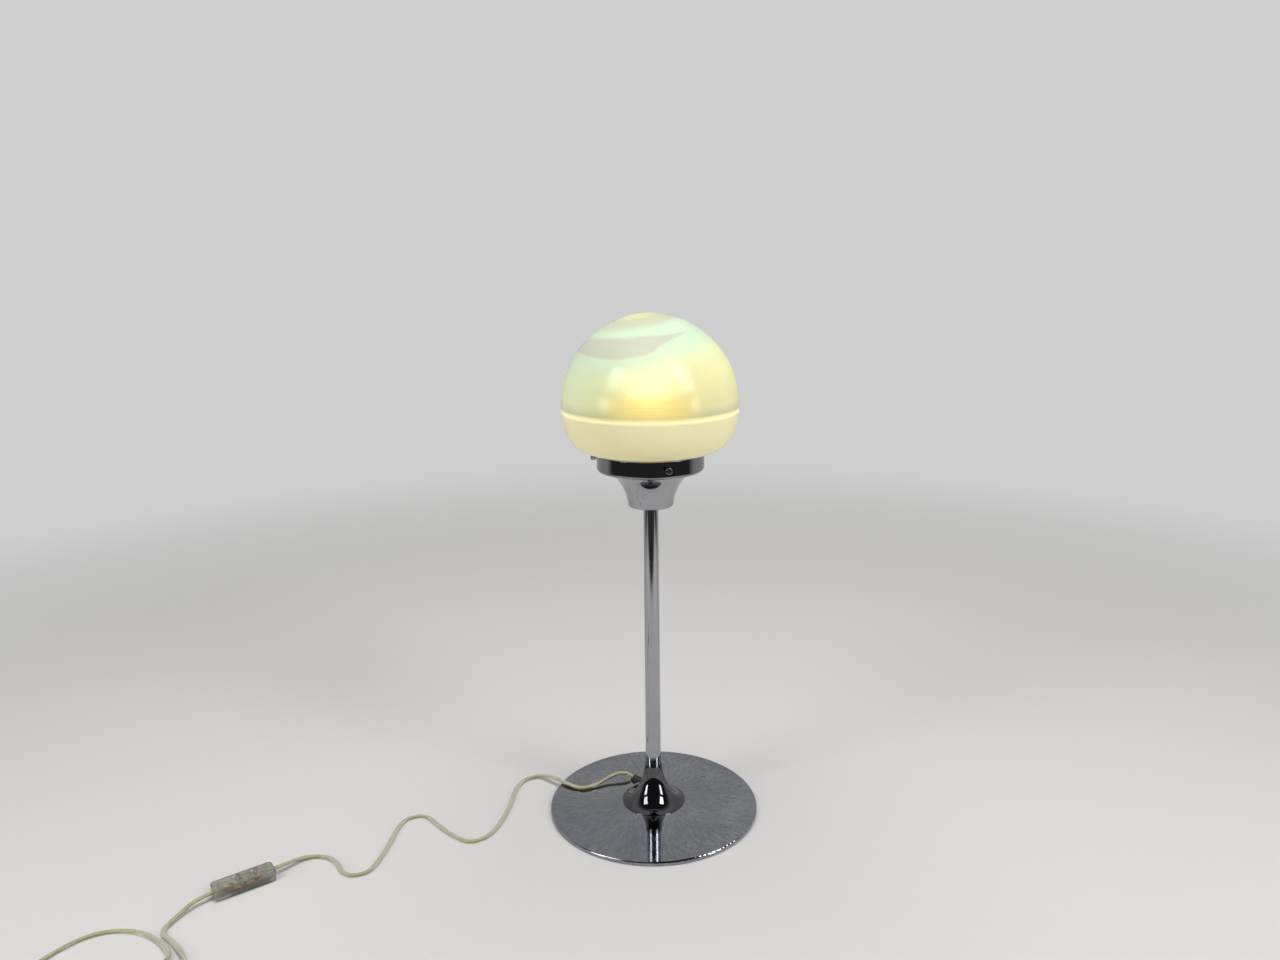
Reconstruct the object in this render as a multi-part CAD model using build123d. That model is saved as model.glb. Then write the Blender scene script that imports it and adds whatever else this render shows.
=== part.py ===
from build123d import *
import os
from math import atan2, cos, degrees, hypot, pi, radians, sin, sqrt, tan

# Table lamp: a mushroom-shaped glass globe in a chrome gallery, on a slim stem and a low
# round foot, with a clear flat flex, an in-line rocker switch and a two-pin plug.
# Millimetres. The origin is the centre of the foot's underside, +Z is up, and -Y is the front.

# ---------------------------------------------------------------- driving dimensions
# Foot
base_radius = 125.0
rim_height = 4.9            # top of the rolled rim above the table
rim_rounding = 1.8
crown_height = 8.3          # top of the flat middle that carries the stem
crown_margin = 1.0          # flat middle beyond the bell's edge
sheet = 1.2                 # sheet thickness of foot, cup and gallery
rim_lift = 0.6              # the felt keeps the metal rim this far off the table
felt_thickness = 1.0
felt_inset = 6.0            # felt's edge inside the foot's edge
ballast_gap = 0.3           # clearance under the foot's sloping top
ballast_edge_gap = 2.8      # clearance inside the rim
ballast_web = 1.8           # thickness left over the nut recess
recess_margin = 7.0         # room round the nut for a spanner

# Stem, M10 fittings and bell
stem_bottom_radius = 9.4
stem_top_radius = 8.4
stem_length = 369.3
stem_wall = 1.2
thread_radius = 5.0         # M10
thread_gap = 0.1
wire_bore_radius = 3.5      # bore of the hollow nipple
nut_height = 3.0
nut_flats = 17.0
washer_height = 1.0
washer_radius = 11.0
gallery_washer_radius = 14.0
bush_length = 14.0
bush_fit = 0.08             # radial gap between a bush and the tube it is pressed into
top_nipple_length = 82.0
bell_top = 55.0
bell_bottom_radius = 38.0
bell_wall = 0.8
bell_edge = 0.5             # thickness of its rim where it lies on the foot
bell_steep = 15.0           # length of the steep start of its flare
bell_reach = 18.0           # length of the flat end of its flare
bell_rise = 3.2             # height from which the flat end comes down
bell_fit = 0.1              # bell to stem

# Cup and gallery
cup_radius = 25.8
cup_rounding = 3.0
cup_height = 42.4
cup_top_inset = 11.4        # cup's rim inside the gallery's edge
cup_edge = 0.6              # thickness of the cup's rim where it meets the gallery
gallery_radius = 60.6
gallery_height = 20.0
gallery_rounding = 3.6
screw_height = 11.5         # thumbscrew axis above the gallery's underside
screw_first_azimuth = -73.3
screw_radius = 1.5
screw_collar_margin = 0.8
screw_collar_length = 1.2
screw_head_radius = 3.6
screw_head_length = 5.0
screw_head_standoff = 3.6   # head's inner face to the gallery wall
screw_bush_radius = 3.4
screw_bush_length = 2.0
screw_knurls = 18
screw_tip_gap = 0.35        # thumbscrew tip to the glass neck
screw_fit = 0.05

# Glass globe
globe_radius = 99.0
globe_widest = 70.8         # widest circle above the gallery's floor
globe_dome = 102.3          # rise of the dome above the widest circle
globe_belly = 49.2          # fall from the widest circle to the flat underside
globe_shoulder = 11.0       # flat underside from the neck out to the belly
belly_drop = 22.7           # handles of the belly's curve, down from the widest circle
belly_reach = 23.5          # and out from the flat underside
glass_wall = 3.0
neck_side_gap = 3.9         # neck to the gallery's wall
neck_seat_gap = 0.3
neck_bend = 4.0             # outer radius where the neck turns into the underside

# Lampholder (E27) and bulb
holder_neck_radius = 8.0
holder_neck_length = 5.0
holder_radius = 19.5
holder_dome_height = 12.0
holder_sleeve_length = 35.0
holder_wall = 1.6
insert_fit = 1.3            # insert to the sleeve's bore
insert_height = 11.0
insert_lift = 2.0           # underside of the insert below the top of the dome
terminal_offset = 8.0       # terminals from the middle of the insert
terminal_radius = 1.25
terminal_head_radius = 2.6
terminal_head_height = 1.5
shell_radius = 13.7
shell_wall = 0.4
shell_length = 24.0
contact_height = 2.4
bulb_gap = 0.35             # bulb cap to the screw shell, and tip to the contact
bulb_tip_radius = 4.6
bulb_tip_height = 1.4
bulb_insulator_height = 3.2
bulb_cap_length = 20.0
bulb_cap_wall = 0.4
bulb_radius = 30.0
bulb_neck_radius = 13.6
bulb_centre_height = 76.0   # centre of the bulb's round part above its tip
bulb_glass_wall = 0.8

# Flex, grommet and inner lead
cord_width = 5.4
core_radius = 1.2
grommet_wall = 1.4
grommet_fit = 0.1
grommet_hole_gap = 0.1
grommet_x = -21.5
grommet_y = 46.5
grommet_z = 7.1
grommet_heading = 155.0
grommet_tilt = 40.0
grommet_inside = 4.0
grommet_outside = 6.0
grommet_flange_radius = 6.6
grommet_flange_height = 1.0
lead_lie = 2.7              # height of the lead where it lies in the ballast's channel
lead_turn_distance = 32.0   # from the axis, where it turns towards the stem
lead_hole_distance = 16.8   # upright hole through the foot, under the bell
lead_hole_radius = 3.8
lead_channel_width = 11.0
lead_channel_length = 38.0
lead_bend = 40.0            # its widest bends
side_hole_height = 31.5     # hole in the stem where the lead goes in
side_hole_radius = 4.4
anchor_distance = 17.0
anchor_length = 7.6
anchor_width = 16.0
anchor_height = 6.0
anchor_slot_length = 4.4
anchor_screw_distance = 17.6
anchor_screw_offset = 5.9
anchor_screw_radius = 1.25
anchor_head_radius = 2.0
anchor_head_height = 1.6

# In-line switch
switch_length = 64.0
switch_width = 21.0
switch_height = 13.5
switch_wall = 1.6
switch_corner = 4.0
switch_edge = 2.0
switch_x = -439.9
switch_y = -156.6
switch_heading = 217.0
rocker_half_length = 7.5
rocker_width = 9.0
rocker_tilt = 8.0
rocker_pivot_height = 9.0
rocker_crest = 15.4
rocker_gap = 0.35
pin_radius = 1.2
pin_fit = 0.05

# Plug (two-pin, flat)
plug_x = -571.4
plug_y = -315.8
plug_z = 6.75
plug_heading = -25.0
plug_relief_length = 22.0
plug_relief_radius = 3.4
relief_grooves = 4
relief_groove = 1.6         # width of each
plug_body_length = 34.0
plug_width = 33.0
plug_height = 13.2
pin_spacing = 18.6
pin_root = 8.0              # length of a pin inside the body
plug_pin_length = 19.0
plug_pin_radius = 2.0
plug_sleeve_length = 10.0
plug_sleeve_wall = 0.35

# Put-away coil and its tie
coil_x = -462.0
coil_y = -325.0
coil_outer_radius = 34.4
coil_pitch = 6.0            # from one turn to the next, across
coil_layer = 6.0            # from one layer to the next, up
coil_turns_in = 1.5
coil_turns_up = 0.5
coil_start_angle = 20.0
coil_height = 3.9           # centre of the lower layer
tie_angle = -70.0
tie_width = 4.0
tie_thickness = 0.8
tie_gap = 0.3
tie_corner = 2.4

# ---------------------------------------------------------------- heights worked out from them
stem_bottom = crown_height
stem_top = stem_bottom + stem_length
cup_bottom = stem_top
gallery_bottom = cup_bottom + cup_height
gallery_floor = gallery_bottom + sheet
gallery_top = gallery_bottom + gallery_height
gallery_inner_radius = gallery_radius - sheet
holder_bottom = gallery_floor + washer_height + nut_height + 0.6
dome_bottom = holder_bottom + holder_neck_length
dome_top = dome_bottom + holder_dome_height
insert_bottom = dome_top - insert_lift
insert_top = insert_bottom + insert_height
contact_top = insert_top + contact_height
bulb_bottom = contact_top + bulb_gap
bulb_cap_bottom = bulb_bottom + bulb_tip_height + bulb_insulator_height
bulb_cap_radius = shell_radius - shell_wall - bulb_gap
bulb_centre = bulb_bottom + bulb_centre_height
globe_middle = gallery_floor + globe_widest
globe_underside = globe_middle - globe_belly
globe_top = globe_middle + globe_dome
neck_bottom = gallery_floor + neck_seat_gap
screw_z = gallery_bottom + screw_height
tube_radius = cord_width / 2
core_spacing = cord_width - 2 * core_radius
grommet_centre = Vector(grommet_x, grommet_y, grommet_z)
switch_centre = Vector(switch_x, switch_y, 0)
plug_start = Vector(plug_x, plug_y, plug_z)
coil_centre = Vector(coil_x, coil_y, 0)
grommet_radius = tube_radius + grommet_fit + grommet_wall
crown_radius = bell_bottom_radius + crown_margin
felt_radius = base_radius - felt_inset
ballast_radius = base_radius - sheet - ballast_edge_gap
recess_radius = nut_flats / sqrt(3) + recess_margin
cup_top_radius = gallery_radius - cup_top_inset
neck_radius = gallery_radius - sheet - neck_side_gap
neck_join = globe_underside - neck_bend
neck_inner_radius = neck_radius - glass_wall
globe_flat_radius = neck_radius + globe_shoulder
insert_radius = holder_radius - holder_wall - insert_fit
screw_azimuths = [screw_first_azimuth + 120 * i for i in range(3)]

ellipse_handle = 0.5523     # handle length that makes a curve a quarter of an ellipse
FLOOR_UP = (Align.CENTER, Align.CENTER, Align.MIN)


# ---------------------------------------------------------------- helpers
def rounded_edges(corners):
    """Edges of a closed outline; each corner is (x, y) or (x, y, rounding)."""
    edges, stops = [], []
    count = len(corners)
    for i, corner in enumerate(corners):
        here = Vector(corner[0], corner[1])
        before = Vector(*corners[i - 1][:2])
        after = Vector(*corners[(i + 1) % count][:2])
        if len(corner) < 3:
            stops.append((here, here))
            continue
        to_before = (before - here).normalized()
        to_after = (after - here).normalized()
        half_angle = radians(to_before.get_angle(to_after)) / 2
        reach = corner[2] / tan(half_angle)
        start = here + to_before * reach
        end = here + to_after * reach
        bisector = (to_before + to_after).normalized()
        middle = here + bisector * (corner[2] / sin(half_angle) - corner[2])
        edges.append(ThreePointArc(start, middle, end))
        stops.append((start, end))
    for i, (_, leave) in enumerate(stops):
        arrive = stops[(i + 1) % count][0]
        if (arrive - leave).length > 1e-6:
            edges.append(Line(leave, arrive))
    return edges


def turned(*corners):
    """Solid of revolution about Z through corners of (radius, height[, rounding])."""
    return revolve(Plane.XZ * make_face(rounded_edges(corners)), Axis.Z, 360)


def turned_edges(*edges):
    """Solid of revolution about Z from edges drawn as (radius, height)."""
    return revolve(Plane.XZ * make_face(edges), Axis.Z, 360)


def rod(radius, bottom, top):
    return Pos(0, 0, bottom) * Cylinder(radius, top - bottom, align=FLOOR_UP)


def ring(outer, inner, bottom, top):
    return rod(outer, bottom, top) - rod(inner, bottom - 1, top + 1)


def hex_nut(bottom, bore):
    blank = extrude(RegularPolygon(nut_flats / 2, 6, major_radius=False), nut_height)
    return Pos(0, 0, bottom) * blank - rod(bore, bottom - 1, bottom + nut_height + 1)


def pointing(point, direction, solid):
    """A solid built along +Z from the origin, moved to a point and turned to a direction."""
    return Plane(origin=point, z_dir=direction) * solid


def heading_vector(angle, tilt=0.0):
    a, t = radians(angle), radians(tilt)
    return Vector(cos(a) * cos(t), sin(a) * cos(t), sin(t))


def cord_radii(points):
    """The largest bend at each corner of a route: 0.45 of the shorter run."""
    radii = []
    for before, here, after in zip(points, points[1:], points[2:]):
        run_in = Vector(*here) - Vector(*before)
        run_out = Vector(*after) - Vector(*here)
        turn = radians(run_in.get_angle(run_out))
        radii.append(0.45 * min(run_in.length, run_out.length) / tan(turn / 2))
    return radii


def tube(points, radius, name):
    """A round tube along straight runs joined by tangent arcs."""
    radii = cord_radii(points)
    path = FilletPolyline(*points, radius=radii)
    start = Vector(*points[0])
    section = Plane(origin=start, z_dir=Vector(*points[1]) - start) * Circle(radius)
    solid = sweep(section, path)
    expected = pi * radius**2 * path.length
    print(f"{name}: {path.length:.0f} mm long, volume {solid.volume / expected:.4f} of section x length,")
    print("  radii", " ".join(f"{r:.0f}" for r in radii))
    return solid


def export(name, shape):
    export_step(shape, f"parts/{name}.step")


# ---------------------------------------------------------------- foot
def base_top(radius):
    """Height of the foot's upper surface at a radius."""
    fall = (crown_height - rim_height) / (base_radius - crown_radius)
    return crown_height - max(0.0, radius - crown_radius) * fall


def base_shell():
    inner_radius = base_radius - sheet
    return turned(
        (thread_radius + thread_gap, crown_height),
        (crown_radius, crown_height),
        (base_radius, rim_height, rim_rounding),
        (base_radius, rim_lift),
        (inner_radius, rim_lift),
        (inner_radius, rim_height - sheet, rim_rounding - sheet),
        (crown_radius, crown_height - sheet),
        (thread_radius + thread_gap, crown_height - sheet),
    )


ballast_top = crown_height - sheet
ballast_bottom = felt_thickness
nut_bottom = ballast_top - ballast_web - washer_height - nut_height


def ballast():
    under = ballast_top - ballast_web
    return turned(
        (thread_radius + thread_gap, ballast_top),
        (crown_radius - 1, ballast_top),
        (ballast_radius, base_top(ballast_radius) - sheet - ballast_gap),
        (ballast_radius, ballast_bottom),
        (recess_radius, ballast_bottom),
        (recess_radius, under),
        (thread_radius + thread_gap, under),
    )


def felt():
    return rod(felt_radius, 0, felt_thickness)


# ---------------------------------------------------------------- stem and bell
def stem_radius_at(height):
    share = (height - stem_bottom) / stem_length
    return stem_bottom_radius + (stem_top_radius - stem_bottom_radius) * share


def stem():
    return turned(
        (stem_bottom_radius, stem_bottom),
        (stem_top_radius, stem_top),
        (stem_top_radius - stem_wall, stem_top),
        (stem_bottom_radius - stem_wall, stem_bottom),
    )


def bush(bottom, top):
    """A turned bush that fills the stem's bore between two heights, threaded M10 inside."""
    inside = stem_wall + bush_fit
    return turned(
        (stem_radius_at(bottom) - inside, bottom),
        (stem_radius_at(top) - inside, top),
        (thread_radius + bush_fit, top),
        (thread_radius + bush_fit, bottom),
    )


def bell():
    """A trumpet-shaped cover that slides down the stem and hides the fixings on the foot."""
    bottom = crown_height
    top_radius = stem_radius_at(bell_top) + bell_fit
    neck = top_radius + bell_wall
    edge = bell_bottom_radius
    foot_width = 1.5
    outside = Bezier(
        (neck, bell_top), (neck + 0.6, bell_top - bell_steep), (edge - bell_reach, bottom + bell_rise),
        (edge, bottom + bell_edge),
    )
    inside = Bezier(
        (edge - foot_width, bottom), (edge - bell_reach - 0.6, bottom + bell_rise - 0.6),
        (top_radius + 0.6, bell_top - bell_steep - 0.6), (top_radius, bell_top),
    )
    return turned_edges(
        outside,
        Line((edge, bottom + bell_edge), (edge, bottom)),
        Line((edge, bottom), (edge - foot_width, bottom)),
        inside,
        Line((top_radius, bell_top), (neck, bell_top)),
    )


# ---------------------------------------------------------------- cup and gallery
def cup():
    """The trumpet under the gallery: a closed spun cup on the stem's top end."""
    low = cup_bottom + cup_rounding
    edge_low = gallery_bottom - cup_edge
    outside = Bezier(
        (cup_radius, low), (cup_radius + 2.6, low + 22), (cup_top_radius - 6.2, edge_low - 2),
        (cup_top_radius, edge_low),
    )
    inside = Bezier(
        (cup_top_radius, gallery_bottom), (cup_top_radius - 6.6, edge_low - 0.5),
        (cup_radius + 2.5 - sheet, low + 23.2), (cup_radius - sheet, low),
    )
    corner = cup_rounding * (1 - sqrt(0.5))
    inner_rounding = cup_rounding - sheet
    inner_corner = inner_rounding * (1 - sqrt(0.5))
    bore = thread_radius + thread_gap
    floor = cup_bottom + sheet
    return turned_edges(
        Line((bore, cup_bottom), (cup_radius - cup_rounding, cup_bottom)),
        ThreePointArc(
            (cup_radius - cup_rounding, cup_bottom), (cup_radius - corner, cup_bottom + corner),
            (cup_radius, low),
        ),
        outside,
        Line((cup_top_radius, edge_low), (cup_top_radius, gallery_bottom)),
        inside,
        ThreePointArc(
            (cup_radius - sheet, low), (cup_radius - sheet - inner_corner, floor + inner_corner),
            (cup_radius - sheet - inner_rounding, floor),
        ),
        Line((cup_radius - sheet - inner_rounding, floor), (bore, floor)),
        Line((bore, floor), (bore, cup_bottom)),
    )


def screw_holes(radius):
    """Radial drills through the gallery wall, one at each thumbscrew."""
    drills = []
    for azimuth in screw_azimuths:
        direction = heading_vector(azimuth)
        start = direction * (gallery_inner_radius - 4) + Vector(0, 0, screw_z)
        drills.append(pointing(start, direction, Cylinder(radius, 10, align=FLOOR_UP)))
    return drills


def gallery():
    bowl = turned(
        (thread_radius + thread_gap, gallery_bottom),
        (gallery_radius, gallery_bottom, gallery_rounding),
        (gallery_radius, gallery_top, 0.5),
        (gallery_inner_radius, gallery_top, 0.5),
        (gallery_inner_radius, gallery_floor, gallery_rounding - sheet),
        (thread_radius + thread_gap, gallery_floor),
    )
    for drill in screw_holes(screw_radius + screw_fit):
        bowl -= drill
    return bowl


def screw_bushes():
    """Three threaded bosses inside the gallery wall that the thumbscrews run in."""
    wall = rod(gallery_inner_radius - 0.02, gallery_floor, gallery_top)
    bosses = []
    for azimuth in screw_azimuths:
        direction = heading_vector(azimuth)
        start = direction * (gallery_inner_radius - screw_bush_length) + Vector(0, 0, screw_z)
        blank = pointing(start, direction, Cylinder(screw_bush_radius, 6, align=FLOOR_UP)) & wall
        drill = Cylinder(screw_radius + screw_fit, 9, align=FLOOR_UP)
        bore = pointing(start - direction * 1, direction, drill)
        bosses.append(blank - bore)
    return Compound(bosses)


def thumbscrew(azimuth):
    """A knurled screw that holds the glass neck, about 0.3 mm off it at rest."""
    tip_radius = neck_radius + screw_tip_gap
    head_start = gallery_radius + screw_head_standoff
    shank = Cylinder(screw_radius, head_start - tip_radius, align=FLOOR_UP)
    collar = Cylinder(screw_radius + screw_collar_margin, screw_collar_length, align=FLOOR_UP)
    head = Cylinder(screw_head_radius, screw_head_length, align=FLOOR_UP)
    head = fillet(head.edges().filter_by(GeomType.CIRCLE), 0.6)
    for i in range(screw_knurls):
        angle = 360 * i / screw_knurls
        groove = Pos(screw_head_radius + 0.35, 0, 0) * Cylinder(0.6, screw_head_length, align=FLOOR_UP)
        head -= Rot(0, 0, angle) * groove
    offset = head_start - tip_radius
    body = shank + Pos(0, 0, offset - screw_collar_length) * collar + Pos(0, 0, offset) * head
    direction = heading_vector(azimuth)
    return pointing(direction * tip_radius + Vector(0, 0, screw_z), direction, body)


# ---------------------------------------------------------------- lampholder and bulb
def holder_cap():
    return turned(
        (thread_radius + thread_gap, holder_bottom),
        (holder_neck_radius, holder_bottom, 0.8),
        (holder_neck_radius, dome_bottom, 2.0),
        (holder_radius, dome_bottom + 3.5, 5.0),
        (holder_radius, dome_top),
        (holder_radius - holder_wall, dome_top),
        (holder_radius - holder_wall, dome_bottom + 4.6, 4.0),
        (thread_radius + thread_gap, dome_bottom + 0.4),
    )


def holder_sleeve():
    top = dome_top + holder_sleeve_length
    return turned(
        (holder_radius, dome_top + 0.05),
        (holder_radius, top - 3, 1.5),
        (holder_radius + 1.4, top - 2, 0.5),
        (holder_radius + 1.4, top, 0.5),
        (holder_radius - holder_wall, top, 0.5),
        (holder_radius - holder_wall, dome_top + 0.05),
    )


def holder_insert():
    block = rod(insert_radius, insert_bottom, insert_top)
    groove = shell_radius - shell_wall / 2
    seat = ring(groove + shell_wall, groove - shell_wall, insert_top - 1, insert_top + 1)
    for side in (1, -1):
        hole = Cylinder(terminal_radius + 0.05, 7, align=FLOOR_UP)
        block -= Pos(0, side * terminal_offset, insert_bottom - 1) * hole
    return Rot(0, 0, lead_azimuth) * (block - seat)


def screw_shell():
    return ring(shell_radius, shell_radius - shell_wall, insert_top - 1, insert_top + shell_length)


def holder_contacts():
    """The sprung centre contact and the side contact on the insert."""
    centre = Box(7, 5, 0.6, align=FLOOR_UP)
    spring = Pos(0, 0, insert_top) * centre
    riser = Pos(3.1, 0, insert_top + 0.6) * Box(0.8, 5, contact_height - 1.2, align=FLOOR_UP)
    tongue = Pos(0, 0, contact_top - 0.6) * centre
    side = Pos(0, 10.6, insert_top) * Box(4, 1.0, 5, align=FLOOR_UP)
    return Rot(0, 0, lead_azimuth) * Compound([spring + riser + tongue, side])


def holder_terminals():
    """Two terminal screws under the insert, where the lead's cores end."""
    screws = []
    for side in (1, -1):
        shank = Pos(0, side * terminal_offset, insert_bottom) * Cylinder(terminal_radius, 5, align=FLOOR_UP)
        head = Cylinder(terminal_head_radius, terminal_head_height, align=FLOOR_UP)
        head = Pos(0, side * terminal_offset, insert_bottom - terminal_head_height) * head
        screws.append(Rot(0, 0, lead_azimuth) * (shank + head))
    return Compound(screws)


def bulb_tip():
    top = bulb_bottom + bulb_tip_height
    return turned((0, bulb_bottom), (bulb_tip_radius, bulb_bottom, 0.5), (bulb_tip_radius, top), (0, top))


def bulb_insulator():
    low = bulb_bottom + bulb_tip_height
    return turned((0, low), (6.0, low), (bulb_cap_radius - 1.5, bulb_cap_bottom), (0, bulb_cap_bottom))


def bulb_cap():
    top = bulb_cap_bottom + bulb_cap_length
    return turned(
        (0, bulb_cap_bottom),
        (bulb_cap_radius - 1.0, bulb_cap_bottom),
        (bulb_cap_radius, bulb_cap_bottom + 2, 0.8),
        (bulb_cap_radius, top),
        (bulb_cap_radius - bulb_cap_wall, top),
        (bulb_cap_radius - bulb_cap_wall, bulb_cap_bottom + 2 + bulb_cap_wall),
        (0, bulb_cap_bottom + 2 + bulb_cap_wall),
    )


def bulb_outline(radius, neck, bottom):
    """A-type bulb outline from its round top down to its neck."""
    top = bulb_centre + radius
    half = radius * sqrt(0.5)
    return [
        ThreePointArc((0, top), (half, bulb_centre + half), (radius, bulb_centre)),
        Bezier((radius, bulb_centre), (radius, bulb_centre - 22), (neck, bottom + 24), (neck, bottom)),
    ]


def bulb_glass():
    bottom = bulb_cap_bottom + bulb_cap_length + 0.1
    inner_radius = bulb_radius - bulb_glass_wall
    inner_neck = bulb_neck_radius - bulb_glass_wall
    outer = bulb_outline(bulb_radius, bulb_neck_radius, bottom)
    inner = bulb_outline(inner_radius, inner_neck, bottom + 1.5)
    return turned_edges(
        *outer,
        Line((bulb_neck_radius, bottom), (0, bottom)),
        Line((0, bottom), (0, bottom + 1.5)),
        Line((0, bottom + 1.5), (inner_neck, bottom + 1.5)),
        *inner,
        Line((0, bulb_centre + inner_radius), (0, bulb_centre + bulb_radius)),
    )


# ---------------------------------------------------------------- glass globe
def globe_side(inset):
    """Dome and belly curves of the globe, moved in by a wall thickness."""
    widest = globe_radius - inset
    under = globe_underside + inset
    rise = globe_dome - inset
    dome = Bezier(
        (widest, globe_middle), (widest, globe_middle + rise * ellipse_handle),
        (widest * ellipse_handle, globe_middle + rise), (0, globe_middle + rise),
    )
    belly = Bezier(
        (widest, globe_middle), (widest, globe_middle - belly_drop + inset * 0.4),
        (globe_flat_radius + belly_reach - inset * 0.6, under), (globe_flat_radius, under),
    )
    return dome, belly


def globe():
    """The blown bowl, from the start of the neck's bend to the top."""
    outer_dome, outer_belly = globe_side(0)
    inner_dome, inner_belly = globe_side(glass_wall)
    inner_under = globe_underside + glass_wall
    corner = neck_bend * (1 - sqrt(0.5))
    inner_bend = neck_bend + glass_wall
    inner_corner = inner_bend * (1 - sqrt(0.5))
    return turned_edges(
        outer_dome,
        outer_belly,
        Line((globe_flat_radius, globe_underside), (neck_radius + neck_bend, globe_underside)),
        ThreePointArc(
            (neck_radius + neck_bend, globe_underside),
            (neck_radius + corner, globe_underside - corner),
            (neck_radius, neck_join),
        ),
        Line((neck_radius, neck_join), (neck_inner_radius, neck_join)),
        ThreePointArc(
            (neck_inner_radius, neck_join),
            (neck_inner_radius + inner_corner, inner_under - inner_corner),
            (neck_inner_radius + inner_bend, inner_under),
        ),
        Line((neck_inner_radius + inner_bend, inner_under), (globe_flat_radius, inner_under)),
        inner_belly,
        inner_dome,
        Line((0, globe_top - glass_wall), (0, globe_top)),
    )


def globe_neck():
    """The straight neck of the same blown piece, down to its rounded lip."""
    lip = glass_wall / 2
    lip_middle = neck_radius - lip
    return turned_edges(
        Line((neck_radius, neck_join), (neck_radius, neck_bottom + lip)),
        ThreePointArc(
            (neck_radius, neck_bottom + lip),
            (lip_middle, neck_bottom),
            (neck_inner_radius, neck_bottom + lip),
        ),
        Line((neck_inner_radius, neck_bottom + lip), (neck_inner_radius, neck_join)),
        Line((neck_inner_radius, neck_join), (neck_radius, neck_join)),
    )


# ---------------------------------------------------------------- flex where it enters the foot
grommet_axis = heading_vector(grommet_heading, grommet_tilt)
cord_start = grommet_centre - grommet_axis * grommet_inside
lead_azimuth = degrees(atan2(cord_start.Y, cord_start.X))
lead_out = heading_vector(lead_azimuth)
lead_across = heading_vector(lead_azimuth + 90)
cord_across = heading_vector(grommet_heading + 90)


def tilted_rod(radius, before, after):
    start = grommet_centre - grommet_axis * before
    return pointing(start, grommet_axis, Cylinder(radius, before + after, align=FLOOR_UP))


def grommet():
    """A rubber bush through the foot, tilted along the flex, with a flange on the metal."""
    sleeve = tilted_rod(grommet_radius, grommet_inside, grommet_outside)
    below = revolve(
        Plane.XZ * make_face(rounded_edges([
            (0, crown_height + 0.02), (crown_radius, crown_height + 0.02),
            (base_radius, rim_height + 0.02), (base_radius, -5), (0, -5),
        ])),
        Axis.Z, 360,
    )
    flange_top = Pos(0, 0, grommet_flange_height) * below
    footprint = Pos(grommet_centre.X, grommet_centre.Y, 0) * Cylinder(grommet_flange_radius, 30)
    flange = (footprint & flange_top) - below
    return sleeve + flange - tilted_rod(tube_radius + grommet_fit, grommet_inside + 1, grommet_outside + 20)


def lead_hole(radius, bottom, top):
    """Upright hole under the bell where the lead comes up through the foot."""
    centre = lead_out * lead_hole_distance
    return Pos(centre.X, centre.Y, bottom) * Cylinder(radius, top - bottom, align=FLOOR_UP)


def at_lead(distance, side, height):
    point = lead_out * distance + lead_across * side
    return (point.X, point.Y, height)


def inner_lead():
    """The flex's two cores from the grommet through the foot, bell and stem to the lampholder."""
    cores = []
    for side in (1, -1):
        step = side * core_spacing / 2
        first = cord_start + cord_across * step
        second = first - grommet_axis * 2.0
        route = [
            (first.X, first.Y, first.Z),
            (second.X, second.Y, second.Z),
            at_lead(lead_turn_distance, step, lead_lie),
            at_lead(lead_hole_distance + 1.4, step, lead_lie + 0.3),
            at_lead(lead_hole_distance - 0.6, step, crown_height + 5.7),
            at_lead(lead_hole_distance - 1.4, step, side_hole_height - 4.5),
            at_lead(3.0, step, side_hole_height + 1.5),
            at_lead(0.3, step, side_hole_height + 20.5),
            at_lead(0.0, step, dome_bottom + 2.5),
            at_lead(0.0, side * terminal_offset, insert_bottom - terminal_head_height - 2.5),
            at_lead(0.0, side * terminal_offset, insert_bottom - terminal_head_height),
        ]
        radii = [min(r, lead_bend) for r in cord_radii(route)]
        path = FilletPolyline(*route, radius=radii)
        start = Vector(*route[0])
        section = Plane(origin=start, z_dir=Vector(*route[1]) - start) * Circle(core_radius)
        cores.append(sweep(section, path))
    return Compound(cores)


def at_anchor_screws(solid, height):
    """The two places of the anchor's screws, at a height."""
    return [
        Rot(0, 0, lead_azimuth) * Pos(anchor_screw_distance, side * anchor_screw_offset, height) * solid
        for side in (1, -1)
    ]


def anchor_screw_holes():
    hole = Cylinder(anchor_screw_radius + 0.05, anchor_height + 6, align=FLOOR_UP)
    return at_anchor_screws(hole, crown_height - 3)


def lead_anchor():
    """The clamp on the foot inside the bell that takes the pull of the flex."""
    block = Box(anchor_length, anchor_width, anchor_height, align=FLOOR_UP)
    slot_width = core_spacing + 2 * core_radius + 0.6
    block -= Pos(0, 0, -1) * Box(anchor_slot_length, slot_width, anchor_height + 2, align=FLOOR_UP)
    block = Rot(0, 0, lead_azimuth) * Pos(anchor_distance, 0, crown_height) * block
    for hole in anchor_screw_holes():
        block -= hole
    return block


def anchor_screws():
    shank = Cylinder(anchor_screw_radius, anchor_height + sheet, align=FLOOR_UP)
    head = Cylinder(anchor_head_radius, anchor_head_height, align=FLOOR_UP)
    screw = shank + Pos(0, 0, anchor_height + sheet) * head
    return Compound(at_anchor_screws(screw, crown_height - sheet))


# ---------------------------------------------------------------- in-line switch
def at_switch(solid):
    """From the switch's own frame, +X towards the plug, to its place on the table."""
    return Pos(switch_centre.X, switch_centre.Y, 0) * Rot(0, 0, switch_heading) * solid


def switch_point(along, across, height):
    point = switch_centre + heading_vector(switch_heading) * along
    point += heading_vector(switch_heading + 90) * across
    return (point.X, point.Y, height)


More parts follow.
